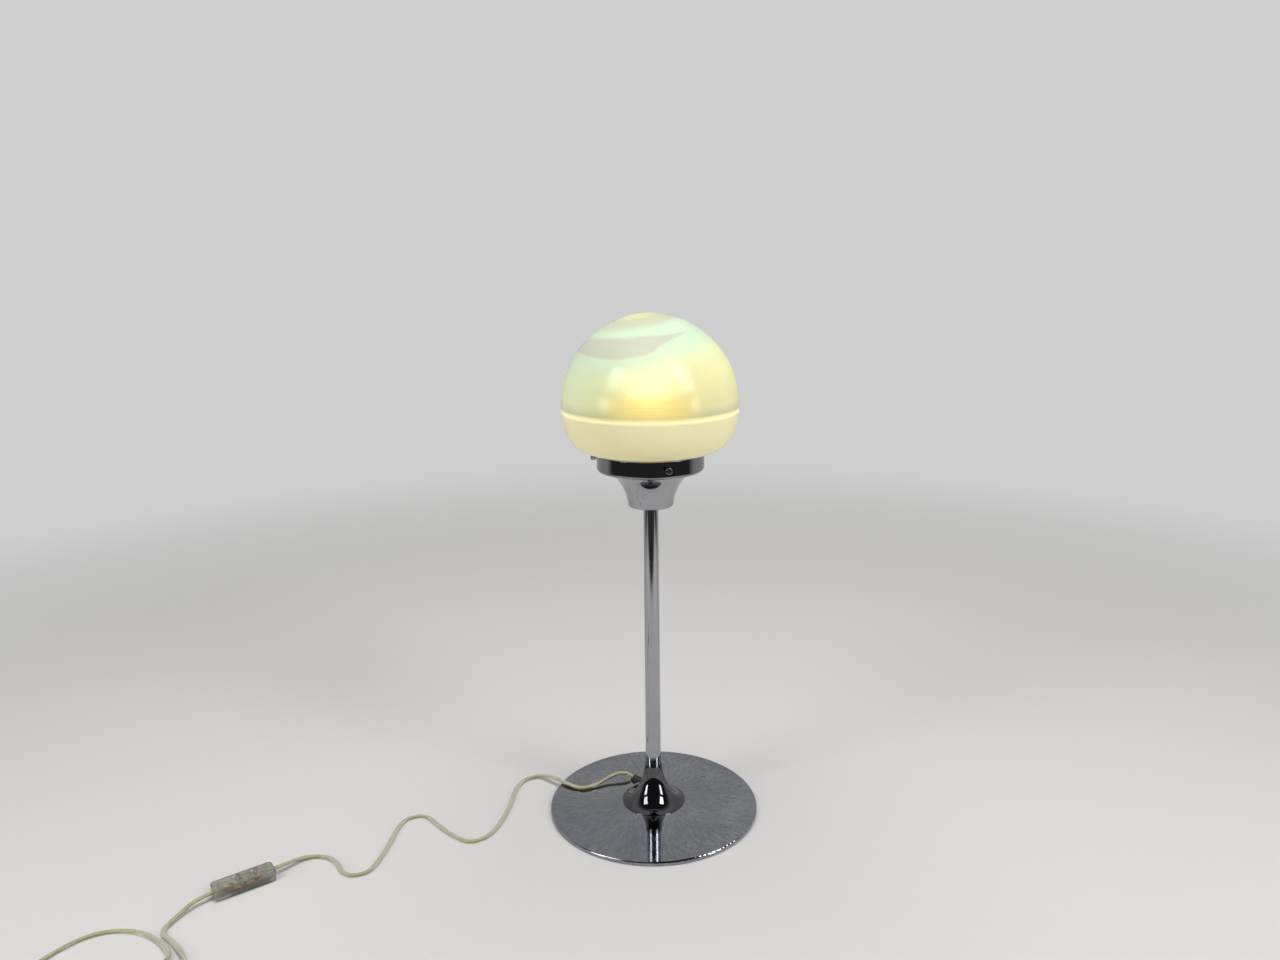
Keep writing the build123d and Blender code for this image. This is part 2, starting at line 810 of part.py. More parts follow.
switch_parting = switch_height / 2
rocker_opening = hypot(rocker_half_length, rocker_crest - rocker_pivot_height) + rocker_gap
cord_in_across = -3.5       # the lamp side enters off centre, on the far side
clamp_along = 24.0
core_across = 2.6
screw_posts = ((14.0, 6.5), (-14.0, -6.5))
post_radius = 2.2
switch_screw_radius = 1.1
switch_screw_fit = 0.1
screw_head_recess = 2.0     # radius and depth of the hole for a screw's head
strip_across = -2.2         # middle of the brass strips
strip_width = 3.6
strip_height = 0.8
core_bend = 6.0


def switch_block(length, width, bottom, top, corner):
    return Pos(0, 0, bottom) * extrude(RectangleRounded(length, width, corner), top - bottom)


def switch_cord_bores():
    side = Rot(0, 90, 0) * Cylinder(tube_radius + grommet_fit, 12)
    far = switch_length / 2
    return [Pos(-far, cord_in_across, switch_parting) * side, Pos(far, 0, switch_parting) * side]


def switch_base():
    block = switch_block(switch_length, switch_width, 0, switch_parting, switch_corner)
    block = fillet(block.edges().group_by(Axis.Z)[0], 1.2)
    inner = 2 * switch_wall
    hollow = switch_block(
        switch_length - inner, switch_width - inner, switch_wall, switch_parting + 1,
        switch_corner - switch_wall,
    )
    block -= hollow
    post = Cylinder(post_radius, switch_parting - switch_wall + 0.2, align=FLOOR_UP)
    for along, across in screw_posts:
        block += Pos(along, across, switch_wall - 0.2) * post
    for side in (1, -1):
        bracket = Pos(0, side * (rocker_width / 2 + 1.2), switch_wall - 0.2)
        block += bracket * Box(4.4, 1.4, rocker_pivot_height + pin_radius + 0.4 - switch_wall, align=FLOOR_UP)
        saddle = Pos(side * clamp_along, 0, switch_wall - 0.2)
        block += saddle * Box(5, 12, switch_parting - tube_radius - 0.1 - switch_wall + 0.2, align=FLOOR_UP)
    for along, across in screw_posts:
        block -= Pos(along, across, -1) * Cylinder(switch_screw_radius + switch_screw_fit, 12, align=FLOOR_UP)
        block -= Pos(along, across, -1) * Cylinder(screw_head_recess, screw_head_recess, align=FLOOR_UP)
    block -= Pos(0, 0, rocker_pivot_height) * Rot(90, 0, 0) * Cylinder(pin_radius + 0.02, 20)
    for bore in switch_cord_bores():
        block -= bore
    return at_switch(block)


def switch_cover():
    block = switch_block(switch_length, switch_width, switch_parting, switch_height, switch_corner)
    block = fillet(block.edges().group_by(Axis.Z)[-1], switch_edge)
    inner = 2 * switch_wall
    hollow = switch_block(
        switch_length - inner, switch_width - inner, switch_parting - 1, switch_height - switch_wall,
        switch_corner - switch_wall,
    )
    block -= hollow
    post = Cylinder(post_radius, switch_height - switch_parting - 1, align=FLOOR_UP)
    hole = Cylinder(switch_screw_radius + switch_screw_fit, 5, align=FLOOR_UP)
    for along, across in screw_posts:
        block += Pos(along, across, switch_parting) * post
        block -= Pos(along, across, switch_parting - 1) * hole
    window = Box(2 * rocker_opening, rocker_width + 2 * rocker_gap, 20, align=FLOOR_UP)
    block -= Pos(0, 0, switch_parting - 1) * window
    for bore in switch_cord_bores():
        block -= bore
    return at_switch(block)


def switch_rocker():
    """The rocker, tilted to its ON side about its pin."""
    crest = rocker_crest - rocker_pivot_height
    outline = make_face(rounded_edges([
        (-3.4, -2.0, 1.0), (3.4, -2.0, 1.0), (rocker_half_length, 1.2, 0.6),
        (rocker_half_length, crest, 0.8), (0, crest - 2.0), (-rocker_half_length, crest, 0.8),
        (-rocker_half_length, 1.2, 0.6),
    ]))
    body = extrude(Plane.XZ * outline, rocker_width / 2, both=True)
    body -= Rot(90, 0, 0) * Cylinder(pin_radius + pin_fit, 20)
    return at_switch(Pos(0, 0, rocker_pivot_height) * Rot(0, -rocker_tilt, 0) * body)


def switch_pivot():
    pin = Cylinder(pin_radius, rocker_width + 3.8)
    return at_switch(Pos(0, 0, rocker_pivot_height) * Rot(90, 0, 0) * pin)


def switch_contacts():
    """Two brass strips with terminal blocks, meeting under the rocker."""
    strips = []
    above = switch_wall + strip_height
    for side in (1, -1):
        strip = Box(15, strip_width, strip_height, align=FLOOR_UP)
        strip = Pos(side * 10.5, strip_across, switch_wall) * strip
        block = Pos(side * 14.6, strip_across, above) * Box(5, strip_width, 4, align=FLOOR_UP)
        finger = Pos(side * 3.4, strip_across, above) * Box(0.8, strip_width, 2.4, align=FLOOR_UP)
        strips.append(at_switch(strip + block + finger))
    return Compound(strips)


def switch_core():
    """One core runs past the contacts without a break; the other is cut and ends at them."""
    half = core_spacing / 2
    low = switch_wall + core_radius + 0.15
    middle = switch_parting
    in_far = cord_in_across + half
    in_near = cord_in_across - half
    lengths = [
        [
            (-clamp_along, in_far, middle),
            (-20, in_far, middle),
            (-16.5, core_across, low),
            (15, core_across, low),
            (20, half, middle),
            (clamp_along, half, middle),
        ],
        [(-clamp_along, in_near, middle), (-20, in_near, middle), (-18.8, -3.3, 4.9)],
        [(clamp_along, -half, middle), (20, -half, middle), (18.8, -1.9, 4.9)],
    ]
    cores = []
    for route in lengths:
        radii = [min(r, core_bend) for r in cord_radii(route)]
        start = Vector(*route[0])
        section = Plane(origin=start, z_dir=Vector(*route[1]) - start) * Circle(core_radius)
        cores.append(at_switch(sweep(section, FilletPolyline(*route, radius=radii))))
    return Compound(cores)


def switch_clamps():
    clamps = []
    for along, across in ((-clamp_along, cord_in_across), (clamp_along, 0)):
        top = switch_height - switch_wall - 0.1
        low = switch_parting + tube_radius + 0.05
        clamps.append(at_switch(Pos(along, across, low) * Box(5, 8, top - low, align=FLOOR_UP)))
    return Compound(clamps)


def switch_screws():
    screws = []
    for along, across in screw_posts:
        head = Pos(along, across, 0.3) * Cylinder(1.9, 0.7, align=FLOOR_UP)
        shank = Cylinder(switch_screw_radius, switch_parting + 1.6, align=FLOOR_UP)
        screws.append(at_switch(head + Pos(along, across, 1.0) * shank))
    return Compound(screws)


# ---------------------------------------------------------------- free flex
on_table = tube_radius      # height of the flex's middle where it lies on the table

lamp_route = [
    (cord_start.X, cord_start.Y, cord_start.Z),
    (-30.5, 50.7, 15.4),
    (-45.5, 49, 16.6),
    (-60, 41, 12.6),
    (-74, 29, 10.4),
    (-91, 24, 9.6),
    (-107, 35, 9.2),
    (-125, 51, 9.4),
    (-146, 67, 4.6),
    (-166.5, 58.5, on_table),
    (-174, 34, on_table),
    (-175, 2, on_table),
    (-180, -34, on_table),
    (-190, -67, on_table),
    (-211, -81, on_table),
    (-233, -66, on_table),
    (-256, -43, on_table),
    (-273, -22, on_table),
    (-296, -28, on_table),
    (-302, -53, on_table),
    (-303, -82, on_table),
    (-307, -114, on_table),
    (-313, -137, on_table),
    (-337, -141.5, on_table),
    (-354.5, -112, on_table),
    (-377, -102.5, on_table),
    (-397, -112, 4.2),
    switch_point(-44, cord_in_across, switch_parting),
    switch_point(-clamp_along, cord_in_across, switch_parting),
]


def coil_angle(turns):
    return radians(coil_start_angle - 360 * turns)


def coil_state(turns):
    """Centre-line point and direction after a number of turns, in, up and out again."""
    turn_up = turns - coil_turns_in
    turn_out = turn_up - coil_turns_up
    inner_radius = coil_outer_radius - coil_pitch * coil_turns_in
    climb = 0.0
    if turn_up <= 0:
        radius = coil_outer_radius - coil_pitch * turns
        slope = -coil_pitch
        height = coil_height
    elif turn_out >= 0:
        radius = inner_radius + coil_pitch * turn_out
        slope = coil_pitch
        height = coil_height + coil_layer
    else:
        share = turn_up / coil_turns_up
        radius = inner_radius - coil_pitch * turn_up * (1 - share)
        slope = coil_pitch * (2 * share - 1)
        height = coil_height + coil_layer * share * share * (3 - 2 * share)
        climb = coil_layer * 6 * share * (1 - share) / coil_turns_up
    angle = coil_angle(turns)
    point = coil_centre + Vector(radius * cos(angle), radius * sin(angle), height)
    turning = -2 * pi * radius
    direction = Vector(
        slope * cos(angle) - turning * sin(angle), slope * sin(angle) + turning * cos(angle), climb
    )
    return point, direction.normalized()


def biarc(start, start_direction, end, end_direction):
    """Two arcs that join two points and leave each along its direction."""
    chord = end - start
    both = start_direction + end_direction
    square = 2 * (1 - start_direction.dot(end_direction))
    along = chord.dot(both)
    reach = (sqrt(along**2 + square * chord.dot(chord)) - along) / square
    joint = (start + end + (start_direction - end_direction) * reach) / 2
    first_chord = (joint - start).normalized()
    joint_direction = first_chord * (2 * start_direction.dot(first_chord)) - start_direction
    return [
        TangentArc(start, joint, tangent=start_direction),
        TangentArc(joint, end, tangent=joint_direction),
    ]


coil_turns = 2 * coil_turns_in + coil_turns_up
coil_end_run = cord_width
coil_first, coil_first_direction = coil_state(0)
coil_last, coil_last_direction = coil_state(coil_turns)
coil_entry = coil_first - coil_first_direction * coil_end_run
coil_exit = coil_last + coil_last_direction * coil_end_run
coil_approach = coil_entry - coil_first_direction * 20
coil_leave = coil_exit + coil_last_direction * 18


def coil():
    """Three and a half turns of flex, spiralling in on the table and out again on top."""
    quarters = round(coil_turns * 4)
    states = [coil_state(i / 4) for i in range(quarters + 1)]
    edges = [Line(coil_entry, coil_first)]
    for (start, leave), (end, arrive) in zip(states, states[1:]):
        edges += biarc(start, leave, end, arrive)
    edges.append(Line(coil_last, coil_exit))
    path = Wire(edges)
    solid = sweep(Plane(origin=coil_entry, z_dir=coil_first_direction) * Circle(tube_radius), path)
    expected = pi * tube_radius**2 * path.length
    print(f"coil: {path.length:.0f} mm long, volume {solid.volume / expected:.4f} of section x length,")
    steps = 40
    line = [coil_state(i / steps)[0] for i in range(round(coil_turns * steps) + 1)]
    nearest = min(
        (line[i] - line[j]).length for i in range(len(line)) for j in range(i + steps // 2, len(line))
    )
    print(f"  least gap to itself {nearest - cord_width:.2f} mm")
    return solid


def cord_tie():
    """A cable tie round the coil's turns, with its head on the outside."""
    inner = coil_outer_radius - coil_pitch * (coil_turns_in - 0.25) - tube_radius - tie_gap
    outer = coil_outer_radius - coil_pitch * 0.25 + tube_radius + tie_gap
    bottom = coil_height - tube_radius - tie_gap
    top = coil_height + coil_layer + tube_radius + tie_gap
    middle, height = (inner + outer) / 2, (bottom + top) / 2
    width, rise = outer - inner, top - bottom
    band = 2 * tie_thickness
    outline = RectangleRounded(width + band, rise + band, tie_corner + tie_thickness)
    loop = extrude(Plane.XZ * outline, tie_width / 2, both=True)
    loop -= extrude(Plane.XZ * RectangleRounded(width, rise, tie_corner), tie_width, both=True)
    head = Pos(width / 2 + tie_thickness + 1.4, 0, 0) * Box(3.2, tie_width + 1, 5)
    tie = Rot(0, 0, tie_angle) * Pos(middle, 0, height) * (loop + head)
    return Pos(coil_centre.X, coil_centre.Y, 0) * tie


mains_route = [
    switch_point(clamp_along, 0, switch_parting),
    switch_point(46, 0, switch_parting),
    (-487, -205, 3.6),
    (-495.5, -231.5, on_table),
    (-472, -247.5, on_table),
    (-452.5, -269.5, on_table),
    (coil_approach.X, coil_approach.Y, coil_approach.Z),
    (coil_entry.X, coil_entry.Y, coil_entry.Z),
]

plug_direction = heading_vector(plug_heading)
plug_approach = plug_start - plug_direction * 22
tail_route = [
    (coil_exit.X, coil_exit.Y, coil_exit.Z),
    (coil_leave.X, coil_leave.Y, coil_leave.Z),
    (-491.5, -294, 4.6),
    (-471, -285, on_table),
    (-467, -265.4, on_table),
    (-487, -245.5, on_table),
    (-513, -230.5, on_table),
    (-541, -227.5, on_table),
    (-566, -236, on_table),
    (-584, -258, on_table),
    (-597, -286, 3.2),
    (plug_approach.X, plug_approach.Y, plug_approach.Z),
    (plug_start.X, plug_start.Y, plug_start.Z),
]


# ---------------------------------------------------------------- plug
def at_plug(solid):
    """From the plug's own frame, +X from the flex to the pins, to its place on the table."""
    return Pos(plug_start.X, plug_start.Y, plug_start.Z) * Rot(0, 0, plug_heading) * solid


plug_face = plug_relief_length + plug_body_length


def plug_cross(along, width, height, corner):
    across = Plane(origin=(along, 0, 0), x_dir=(0, 1, 0), z_dir=(1, 0, 0))
    return across * RectangleRounded(width, height, corner)


def at_pin(side, solid):
    """A solid built along +Z, laid along a pin from its root in the body."""
    return Pos(plug_face - pin_root, side * pin_spacing / 2, 0) * Rot(0, 90, 0) * solid


def plug_body():
    """Moulded body that widens to the pin face, with its tapered strain relief."""
    relief_end = plug_relief_radius + 2.2
    relief = Rot(0, 90, 0) * Cone(plug_relief_radius, relief_end, plug_relief_length + 1, align=FLOOR_UP)
    groove = Cylinder(9, relief_groove) - Cylinder(plug_relief_radius - 0.3, relief_groove)
    for i in range(relief_grooves):
        relief -= Pos(4 + 4.5 * i, 0, 0) * Rot(0, 90, 0) * groove
    body = loft([
        plug_cross(plug_relief_length, 14, 11, 4),
        plug_cross(plug_relief_length + 14, 25, plug_height, 5),
    ])
    body += loft([
        plug_cross(plug_relief_length + 14, 25, plug_height, 5),
        plug_cross(plug_face, plug_width, plug_height, 5),
    ])
    whole = relief + body
    for side in (1, -1):
        whole -= at_pin(side, Cylinder(plug_pin_radius, 20, align=FLOOR_UP))
    return at_plug(whole)


def plug_pins():
    pins = []
    core = plug_pin_radius - plug_sleeve_wall
    for side in (1, -1):
        root = Cylinder(core, pin_root + plug_sleeve_length, align=FLOOR_UP)
        tip = Cylinder(plug_pin_radius, plug_pin_length - plug_sleeve_length, align=FLOOR_UP)
        tip = fillet(tip.edges().group_by(Axis.Z)[-1], 1.6)
        pin = root + Pos(0, 0, pin_root + plug_sleeve_length) * tip
        pins.append(at_plug(at_pin(side, pin)))
    return Compound(pins)


def plug_sleeves():
    sleeves = []
    for side in (1, -1):
        sleeve = ring(plug_pin_radius, plug_pin_radius - plug_sleeve_wall, 0, pin_root + plug_sleeve_length)
        sleeves.append(at_plug(at_pin(side, sleeve)))
    return Compound(sleeves)


# ---------------------------------------------------------------- build every node
def build():
    os.makedirs("parts", exist_ok=True)
    foot = base_shell() - tilted_rod(grommet_radius + grommet_hole_gap, 20, 20)
    foot -= lead_hole(lead_hole_radius, 0, 20)
    for drill in anchor_screw_holes():
        foot -= drill
    weight = ballast() - tilted_rod(grommet_radius + grommet_hole_gap, 5, 20)
    channel = Box(lead_channel_length, lead_channel_width, 20, align=FLOOR_UP)
    weight -= Rot(0, 0, lead_azimuth) * Pos(lead_turn_distance + 1, 0, -5) * channel
    tube_wall = stem()
    side_hole = Cylinder(side_hole_radius, 30, align=FLOOR_UP)
    side_hole = pointing(Vector(0, 0, side_hole_height), lead_out, side_hole)
    tube_wall -= side_hole
    export("base_shell", foot)
    export("base_ballast", weight)
    export("base_felt", felt())
    clear_bore = thread_radius + thread_gap
    washer_top = ballast_top - ballast_web
    export("base_washer", ring(washer_radius, clear_bore, washer_top - washer_height, washer_top))
    export("base_nut", hex_nut(nut_bottom, thread_radius + bush_fit))
    export("base_stud", rod(thread_radius, nut_bottom, stem_bottom + bush_length))
    export("stem_tube", tube_wall)
    export("stem_foot_bush", bush(stem_bottom, stem_bottom + bush_length))
    export("stem_top_bush", bush(stem_top - bush_length, stem_top))
    export("bell_cover", bell())
    export("cord_grommet", grommet())
    export("lead_anchor", lead_anchor())
    export("anchor_screws", anchor_screws())
    export("inner_lead", inner_lead())
    export("gallery_cup", cup())
    nipple_top = holder_bottom + holder_neck_length + 1.5
    nipple_bottom = stem_top - bush_length
    export("top_nipple", ring(thread_radius, wire_bore_radius, nipple_bottom, nipple_top))
    export("cup_nut", hex_nut(cup_bottom + sheet, thread_radius + bush_fit))
    export("gallery_ring", gallery())
    washer_top = gallery_floor + washer_height
    export("gallery_washer", ring(gallery_washer_radius, clear_bore, gallery_floor, washer_top))
    export("gallery_nut", hex_nut(washer_top, thread_radius + bush_fit))
    export("screw_bushes", screw_bushes())
    for name, azimuth in zip(("front", "rear", "left"), screw_azimuths):
        export(f"thumbscrew_{name}", thumbscrew(azimuth))
    export("holder_cap", holder_cap())
    export("holder_sleeve", holder_sleeve())
    export("holder_insert", holder_insert())
    export("holder_screw_shell", screw_shell())
    export("holder_contacts", holder_contacts())
    export("holder_terminals", holder_terminals())
    export("bulb_tip", bulb_tip())
    export("bulb_insulator", bulb_insulator())
    export("bulb_cap", bulb_cap())
    export("bulb_glass", bulb_glass())
    export("glass_globe", globe())
    export("globe_neck", globe_neck())
    export("cord_lamp_run", tube(lamp_route, tube_radius, "lamp run"))
    export("switch_base", switch_base())
    export("switch_cover", switch_cover())
    export("switch_rocker", switch_rocker())
    export("switch_pivot", switch_pivot())
    export("switch_contacts", switch_contacts())
    export("switch_core", switch_core())
    export("switch_clamps", switch_clamps())
    export("switch_screws", switch_screws())
    export("cord_mains_run", tube(mains_route, tube_radius, "mains run"))
    export("cord_coil", coil())
    export("cord_tie", cord_tie())
    export("cord_tail", tube(tail_route, tube_radius, "tail"))
    export("plug_body", plug_body())
    export("plug_pins", plug_pins())
    export("plug_sleeves", plug_sleeves())


build()
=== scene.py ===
# A lit table lamp with a glass globe, on a plain pale floor in soft studio light. Metres.

from math import cos, exp, hypot, pi, radians, sin

import bpy
from mathutils import Matrix, Vector


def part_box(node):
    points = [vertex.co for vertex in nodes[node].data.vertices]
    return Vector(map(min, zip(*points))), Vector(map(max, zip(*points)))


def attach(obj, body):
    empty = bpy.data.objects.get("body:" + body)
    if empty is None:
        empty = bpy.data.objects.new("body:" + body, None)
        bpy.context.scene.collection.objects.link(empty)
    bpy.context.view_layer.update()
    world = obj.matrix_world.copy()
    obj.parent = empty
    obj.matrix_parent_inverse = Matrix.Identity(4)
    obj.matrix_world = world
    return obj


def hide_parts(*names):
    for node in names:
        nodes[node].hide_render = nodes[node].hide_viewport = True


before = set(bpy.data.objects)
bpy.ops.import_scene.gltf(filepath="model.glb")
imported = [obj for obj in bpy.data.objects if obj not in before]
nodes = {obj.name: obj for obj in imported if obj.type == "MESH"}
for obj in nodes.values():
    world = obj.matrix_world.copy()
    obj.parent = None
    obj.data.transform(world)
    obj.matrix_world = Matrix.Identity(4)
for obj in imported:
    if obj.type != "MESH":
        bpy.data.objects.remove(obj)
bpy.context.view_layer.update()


# ---------------------------------------------------------------- colour and node helpers
def linear(red, green, blue):
    """Colour written as 0 to 255, turned to scene light."""
    def one(value):
        value /= 255
        return value / 12.92 if value <= 0.04045 else ((value + 0.055) / 1.055) ** 2.4
    return (one(red), one(green), one(blue), 1.0)


def grey(level):
    return (level, level, level, 1.0)


class Surface:
    """A material under construction: its node tree with short names for the nodes used here."""

    def __init__(self, name):
        self.material = bpy.data.materials.new(name)
        self.material.use_nodes = True
        self.tree = self.material.node_tree
        self.shader = self.tree.nodes["Principled BSDF"]
        self.output = self.tree.nodes["Material Output"]
        self.place = self.add("ShaderNodeTexCoord").outputs["Object"]

    def add(self, kind, **settings):
        node = self.tree.nodes.new(kind)
        for key, value in settings.items():
            setattr(node, key, value)
        return node

    def feed(self, socket, value):
        if isinstance(value, bpy.types.NodeSocket):
            self.tree.links.new(value, socket)
        else:
            socket.default_value = value

    def set(self, **values):
        """Sets the shader's own sockets; an underscore stands for a space."""
        for key, value in values.items():
            self.feed(self.shader.inputs[key.replace("_", " ")], value)

    def maths(self, operation, first, second=0.0):
        node = self.add("ShaderNodeMath", operation=operation)
        for socket, value in zip(node.inputs, (first, second)):
            self.feed(socket, value)
        return node.outputs[0]

    def plus(self, first, second):
        return self.maths("ADD", first, second)

    def minus(self, first, second):
        return self.maths("SUBTRACT", first, second)

    def times(self, first, second):
        return self.maths("MULTIPLY", first, second)

    def over(self, first, second):
        return self.maths("DIVIDE", first, second)

    def larger(self, first, second):
        return self.maths("MAXIMUM", first, second)

    def size(self, value):
        return self.maths("ABSOLUTE", value)

    def away(self, value, centre):
        """How far a value is from a centre."""
        return self.size(self.minus(value, centre))

    def axes(self):
        node = self.add("ShaderNodeSeparateXYZ")
        self.feed(node.inputs[0], self.place)
        return node.outputs

    def radius(self, x, y):
        return self.maths("SQRT", self.plus(self.times(x, x), self.times(y, y)))

    def vector(self, x, y, z):
        node = self.add("ShaderNodeCombineXYZ")
        for socket, value in zip(node.inputs, (x, y, z)):
            self.feed(socket, value)
        return node.outputs[0]

    def scaled(self, x, y, z):
        node = self.add("ShaderNodeMapping")
        self.feed(node.inputs["Vector"], self.place)
        node.inputs["Scale"].default_value = (x, y, z)
        return node.outputs[0]

    def noise(self, scale, detail, roughness, vector=None):
        node = self.add("ShaderNodeTexNoise")
        self.feed(node.inputs["Vector"], vector or self.place)
        self.feed(node.inputs["Scale"], scale)
        self.feed(node.inputs["Detail"], detail)
        self.feed(node.inputs["Roughness"], roughness)
        return node.outputs["Fac"]

    def ramp(self, value, stops):
        """Colours or numbers along a value; each stop is (place, colour or number)."""
        node = self.add("ShaderNodeValToRGB")
        elements = node.color_ramp.elements
        for i, (place, colour) in enumerate(stops):
            stop = elements[i] if i < 2 else elements.new(place)
            stop.position = place
            stop.color = colour if isinstance(colour, tuple) else grey(colour)
        self.feed(node.inputs[0], value)
        return node.outputs["Color"]

    def range(self, value, low, high, new_low=0.0, new_high=1.0, smooth=False):
        node = self.add("ShaderNodeMapRange")
        node.interpolation_type = "SMOOTHSTEP" if smooth else "LINEAR"
        for socket, number in zip(node.inputs, (value, low, high, new_low, new_high)):
            self.feed(socket, number)
        return node.outputs[0]

    def mix(self, share, first, second):
        node = self.add("ShaderNodeMix", data_type="RGBA")
        self.feed(node.inputs["Factor"], share)
        self.feed(node.inputs["A"], first)
        self.feed(node.inputs["B"], second)
        return node.outputs["Result"]

    def bump(self, height, distance, strength):
        node = self.add("ShaderNodeBump")
        self.feed(node.inputs["Height"], height)
        self.feed(node.inputs["Distance"], distance)
        self.feed(node.inputs["Strength"], strength)
        self.feed(self.shader.inputs["Normal"], node.outputs[0])
        return self

    def blend_shaders(self, share, first, second):
        node = self.add("ShaderNodeMixShader")
        self.feed(node.inputs[0], share)
        self.tree.links.new(first, node.inputs[1])
        self.tree.links.new(second, node.inputs[2])
        self.tree.links.new(node.outputs[0], self.output.inputs["Surface"])


# ---------------------------------------------------------------- materials
def polished_chrome():
    """Bright plating with faint wiping marks and a slightly uneven polish."""
    s = Surface("polished_chrome")
    smear = s.noise(60, 4, 0.6)
    fine = s.noise(900, 2, 0.5, s.scaled(1, 1, 0.08))
    s.set(Base_Color=s.mix(smear, linear(158, 159, 163), linear(176, 177, 180)), Metallic=1.0)
    s.set(Roughness=s.range(smear, 0.3, 0.8, 0.05, 0.12))
    return s.bump(fine, 0.00002, 0.25).material


def polished_foot():
    """Plated sheet, mirror bright under fine lines that run out from the stem, with small scuffs."""
    s = Surface("polished_foot")
    x, y, z = s.axes()
    radius = s.radius(x, y)
    # Noise that runs along the radius: its place is the direction from the stem, stretched outward.
    around = s.vector(s.over(x, radius), s.over(y, radius), s.times(radius, 2.6))
    wander = s.times(s.minus(s.noise(55, 3, 0.55), 0.5), 0.16)
    bend = s.add("ShaderNodeVectorMath", operation="ADD")
    s.feed(bend.inputs[0], around)
    s.feed(bend.inputs[1], s.vector(wander, s.times(wander, -1.0), 0.0))
    outward = bend.outputs[0]
    streaks = s.noise(30, 5, 0.65, outward)
    fibres = s.noise(24, 4, 0.6, outward)
    patches = s.noise(14, 3, 0.5)
    tone = s.plus(s.times(streaks, 0.55), s.times(patches, 0.45))
    colour = s.ramp(tone, [
        (0.36, linear(132, 134, 140)),
        (0.50, linear(152, 154, 160)),
        (0.66, linear(174, 176, 181)),
    ])
    # Thin dark lines where the fibre noise crosses its middle value.
    thread = s.times(s.range(s.away(fibres, 0.5), 0.0, 0.018, 1.0, 0.0), s.range(patches, 0.40, 0.56))
    colour = s.mix(s.times(thread, 0.8), colour, linear(80, 82, 86))
    s.set(Base_Color=colour, Metallic=1.0, Roughness=s.range(streaks, 0.3, 0.75, 0.04, 0.09))
    return s.bump(fibres, 0.00010, 0.12).material


def chrome_with_painted_shade(name, dark, pale):
    """Chrome plating with its colour darkened, a painted shade for the dark studio it mirrors, as on the
    gallery and the bell.
    """
    s = Surface(name)
    smear = s.noise(80, 4, 0.6)
    s.set(Base_Color=s.mix(smear, dark, pale), Metallic=1.0)
    s.set(Roughness=s.range(smear, 0.3, 0.8, 0.03, 0.07))
    return s.bump(s.noise(500, 2, 0.5), 0.00002, 0.2).material


def steel():
    s = Surface("zinc_plated_steel")
    grain = s.noise(700, 3, 0.6, s.scaled(1, 1, 0.15))
    s.set(Base_Color=s.mix(grain, linear(150, 150, 146), linear(185, 184, 178)), Metallic=1.0)
    s.set(Roughness=s.range(grain, 0.3, 0.7, 0.25, 0.42))
    return s.bump(grain, 0.00004, 0.4).material


def brass():
    s = Surface("brass")
    grain = s.noise(600, 3, 0.6)
    s.set(Base_Color=s.mix(grain, linear(180, 142, 74), linear(214, 180, 106)), Metallic=1.0)
    s.set(Roughness=s.range(grain, 0.3, 0.7, 0.22, 0.38))
    return s.bump(grain, 0.00003, 0.4).material


def aluminium():
    s = Surface("bulb_cap_aluminium")
    grain = s.noise(500, 3, 0.6, s.scaled(1, 1, 0.2))
    s.set(Base_Color=s.mix(grain, linear(172, 172, 174), linear(200, 200, 202)), Metallic=1.0)
    s.set(Roughness=s.range(grain, 0.3, 0.7, 0.22, 0.4))
    return s.bump(grain, 0.00003, 0.3).material


def cast_iron():
    s = Surface("cast_iron")
    pits = s.noise(900, 5, 0.7)
    s.set(Base_Color=s.mix(pits, linear(38, 38, 40), linear(66, 66, 68)), Metallic=0.7)
    s.set(Roughness=s.range(pits, 0.3, 0.7, 0.6, 0.85))
    return s.bump(pits, 0.0003, 0.8).material


def felt():
    s = Surface("felt")
    fibres = s.noise(1600, 6, 0.75)
    tufts = s.noise(120, 3, 0.6)
    tone = s.plus(s.times(fibres, 0.7), s.times(tufts, 0.3))
    s.set(Base_Color=s.ramp(tone, [(0.3, linear(20, 30, 26)), (0.7, linear(52, 66, 58))]))
    s.set(Roughness=0.95, Sheen_Weight=0.5)
    return s.bump(fibres, 0.0004, 0.9).material


def black_rubber():
    s = Surface("black_rubber")
    grain = s.noise(1200, 4, 0.6)
    s.set(Base_Color=s.mix(grain, linear(22, 22, 22), linear(40, 40, 40)))
    s.set(Roughness=s.range(grain, 0.3, 0.7, 0.5, 0.7))
    return s.bump(grain, 0.00006, 0.5).material


def moulded_plastic():
    s = Surface("white_moulded_plastic")
    grain = s.noise(900, 3, 0.5)
    tint = s.noise(40, 3, 0.5)
    s.set(Base_Color=s.mix(tint, linear(226, 224, 216), linear(238, 236, 230)))
    s.set(Roughness=s.range(grain, 0.3, 0.7, 0.28, 0.42))
    return s.bump(grain, 0.00004, 0.4).material


def ceramic():
    s = Surface("glazed_ceramic")
    tint = s.noise(70, 4, 0.6)
    s.set(Base_Color=s.mix(tint, linear(232, 229, 218), linear(244, 242, 234)))
    s.set(Roughness=s.range(tint, 0.3, 0.7, 0.12, 0.24))
    return s.bump(tint, 0.0002, 0.3).material


def copper_strands(name, dark, pale):
    """Fine stranded wire: short bright and dark flecks along it."""
    s = Surface(name)
    strands = s.noise(1500, 3, 0.6)
    s.set(Base_Color=s.mix(strands, dark, pale), Metallic=0.6)
    s.set(Roughness=s.range(strands, 0.3, 0.7, 0.3, 0.5))
    return s.bump(strands, 0.0001, 0.6).material


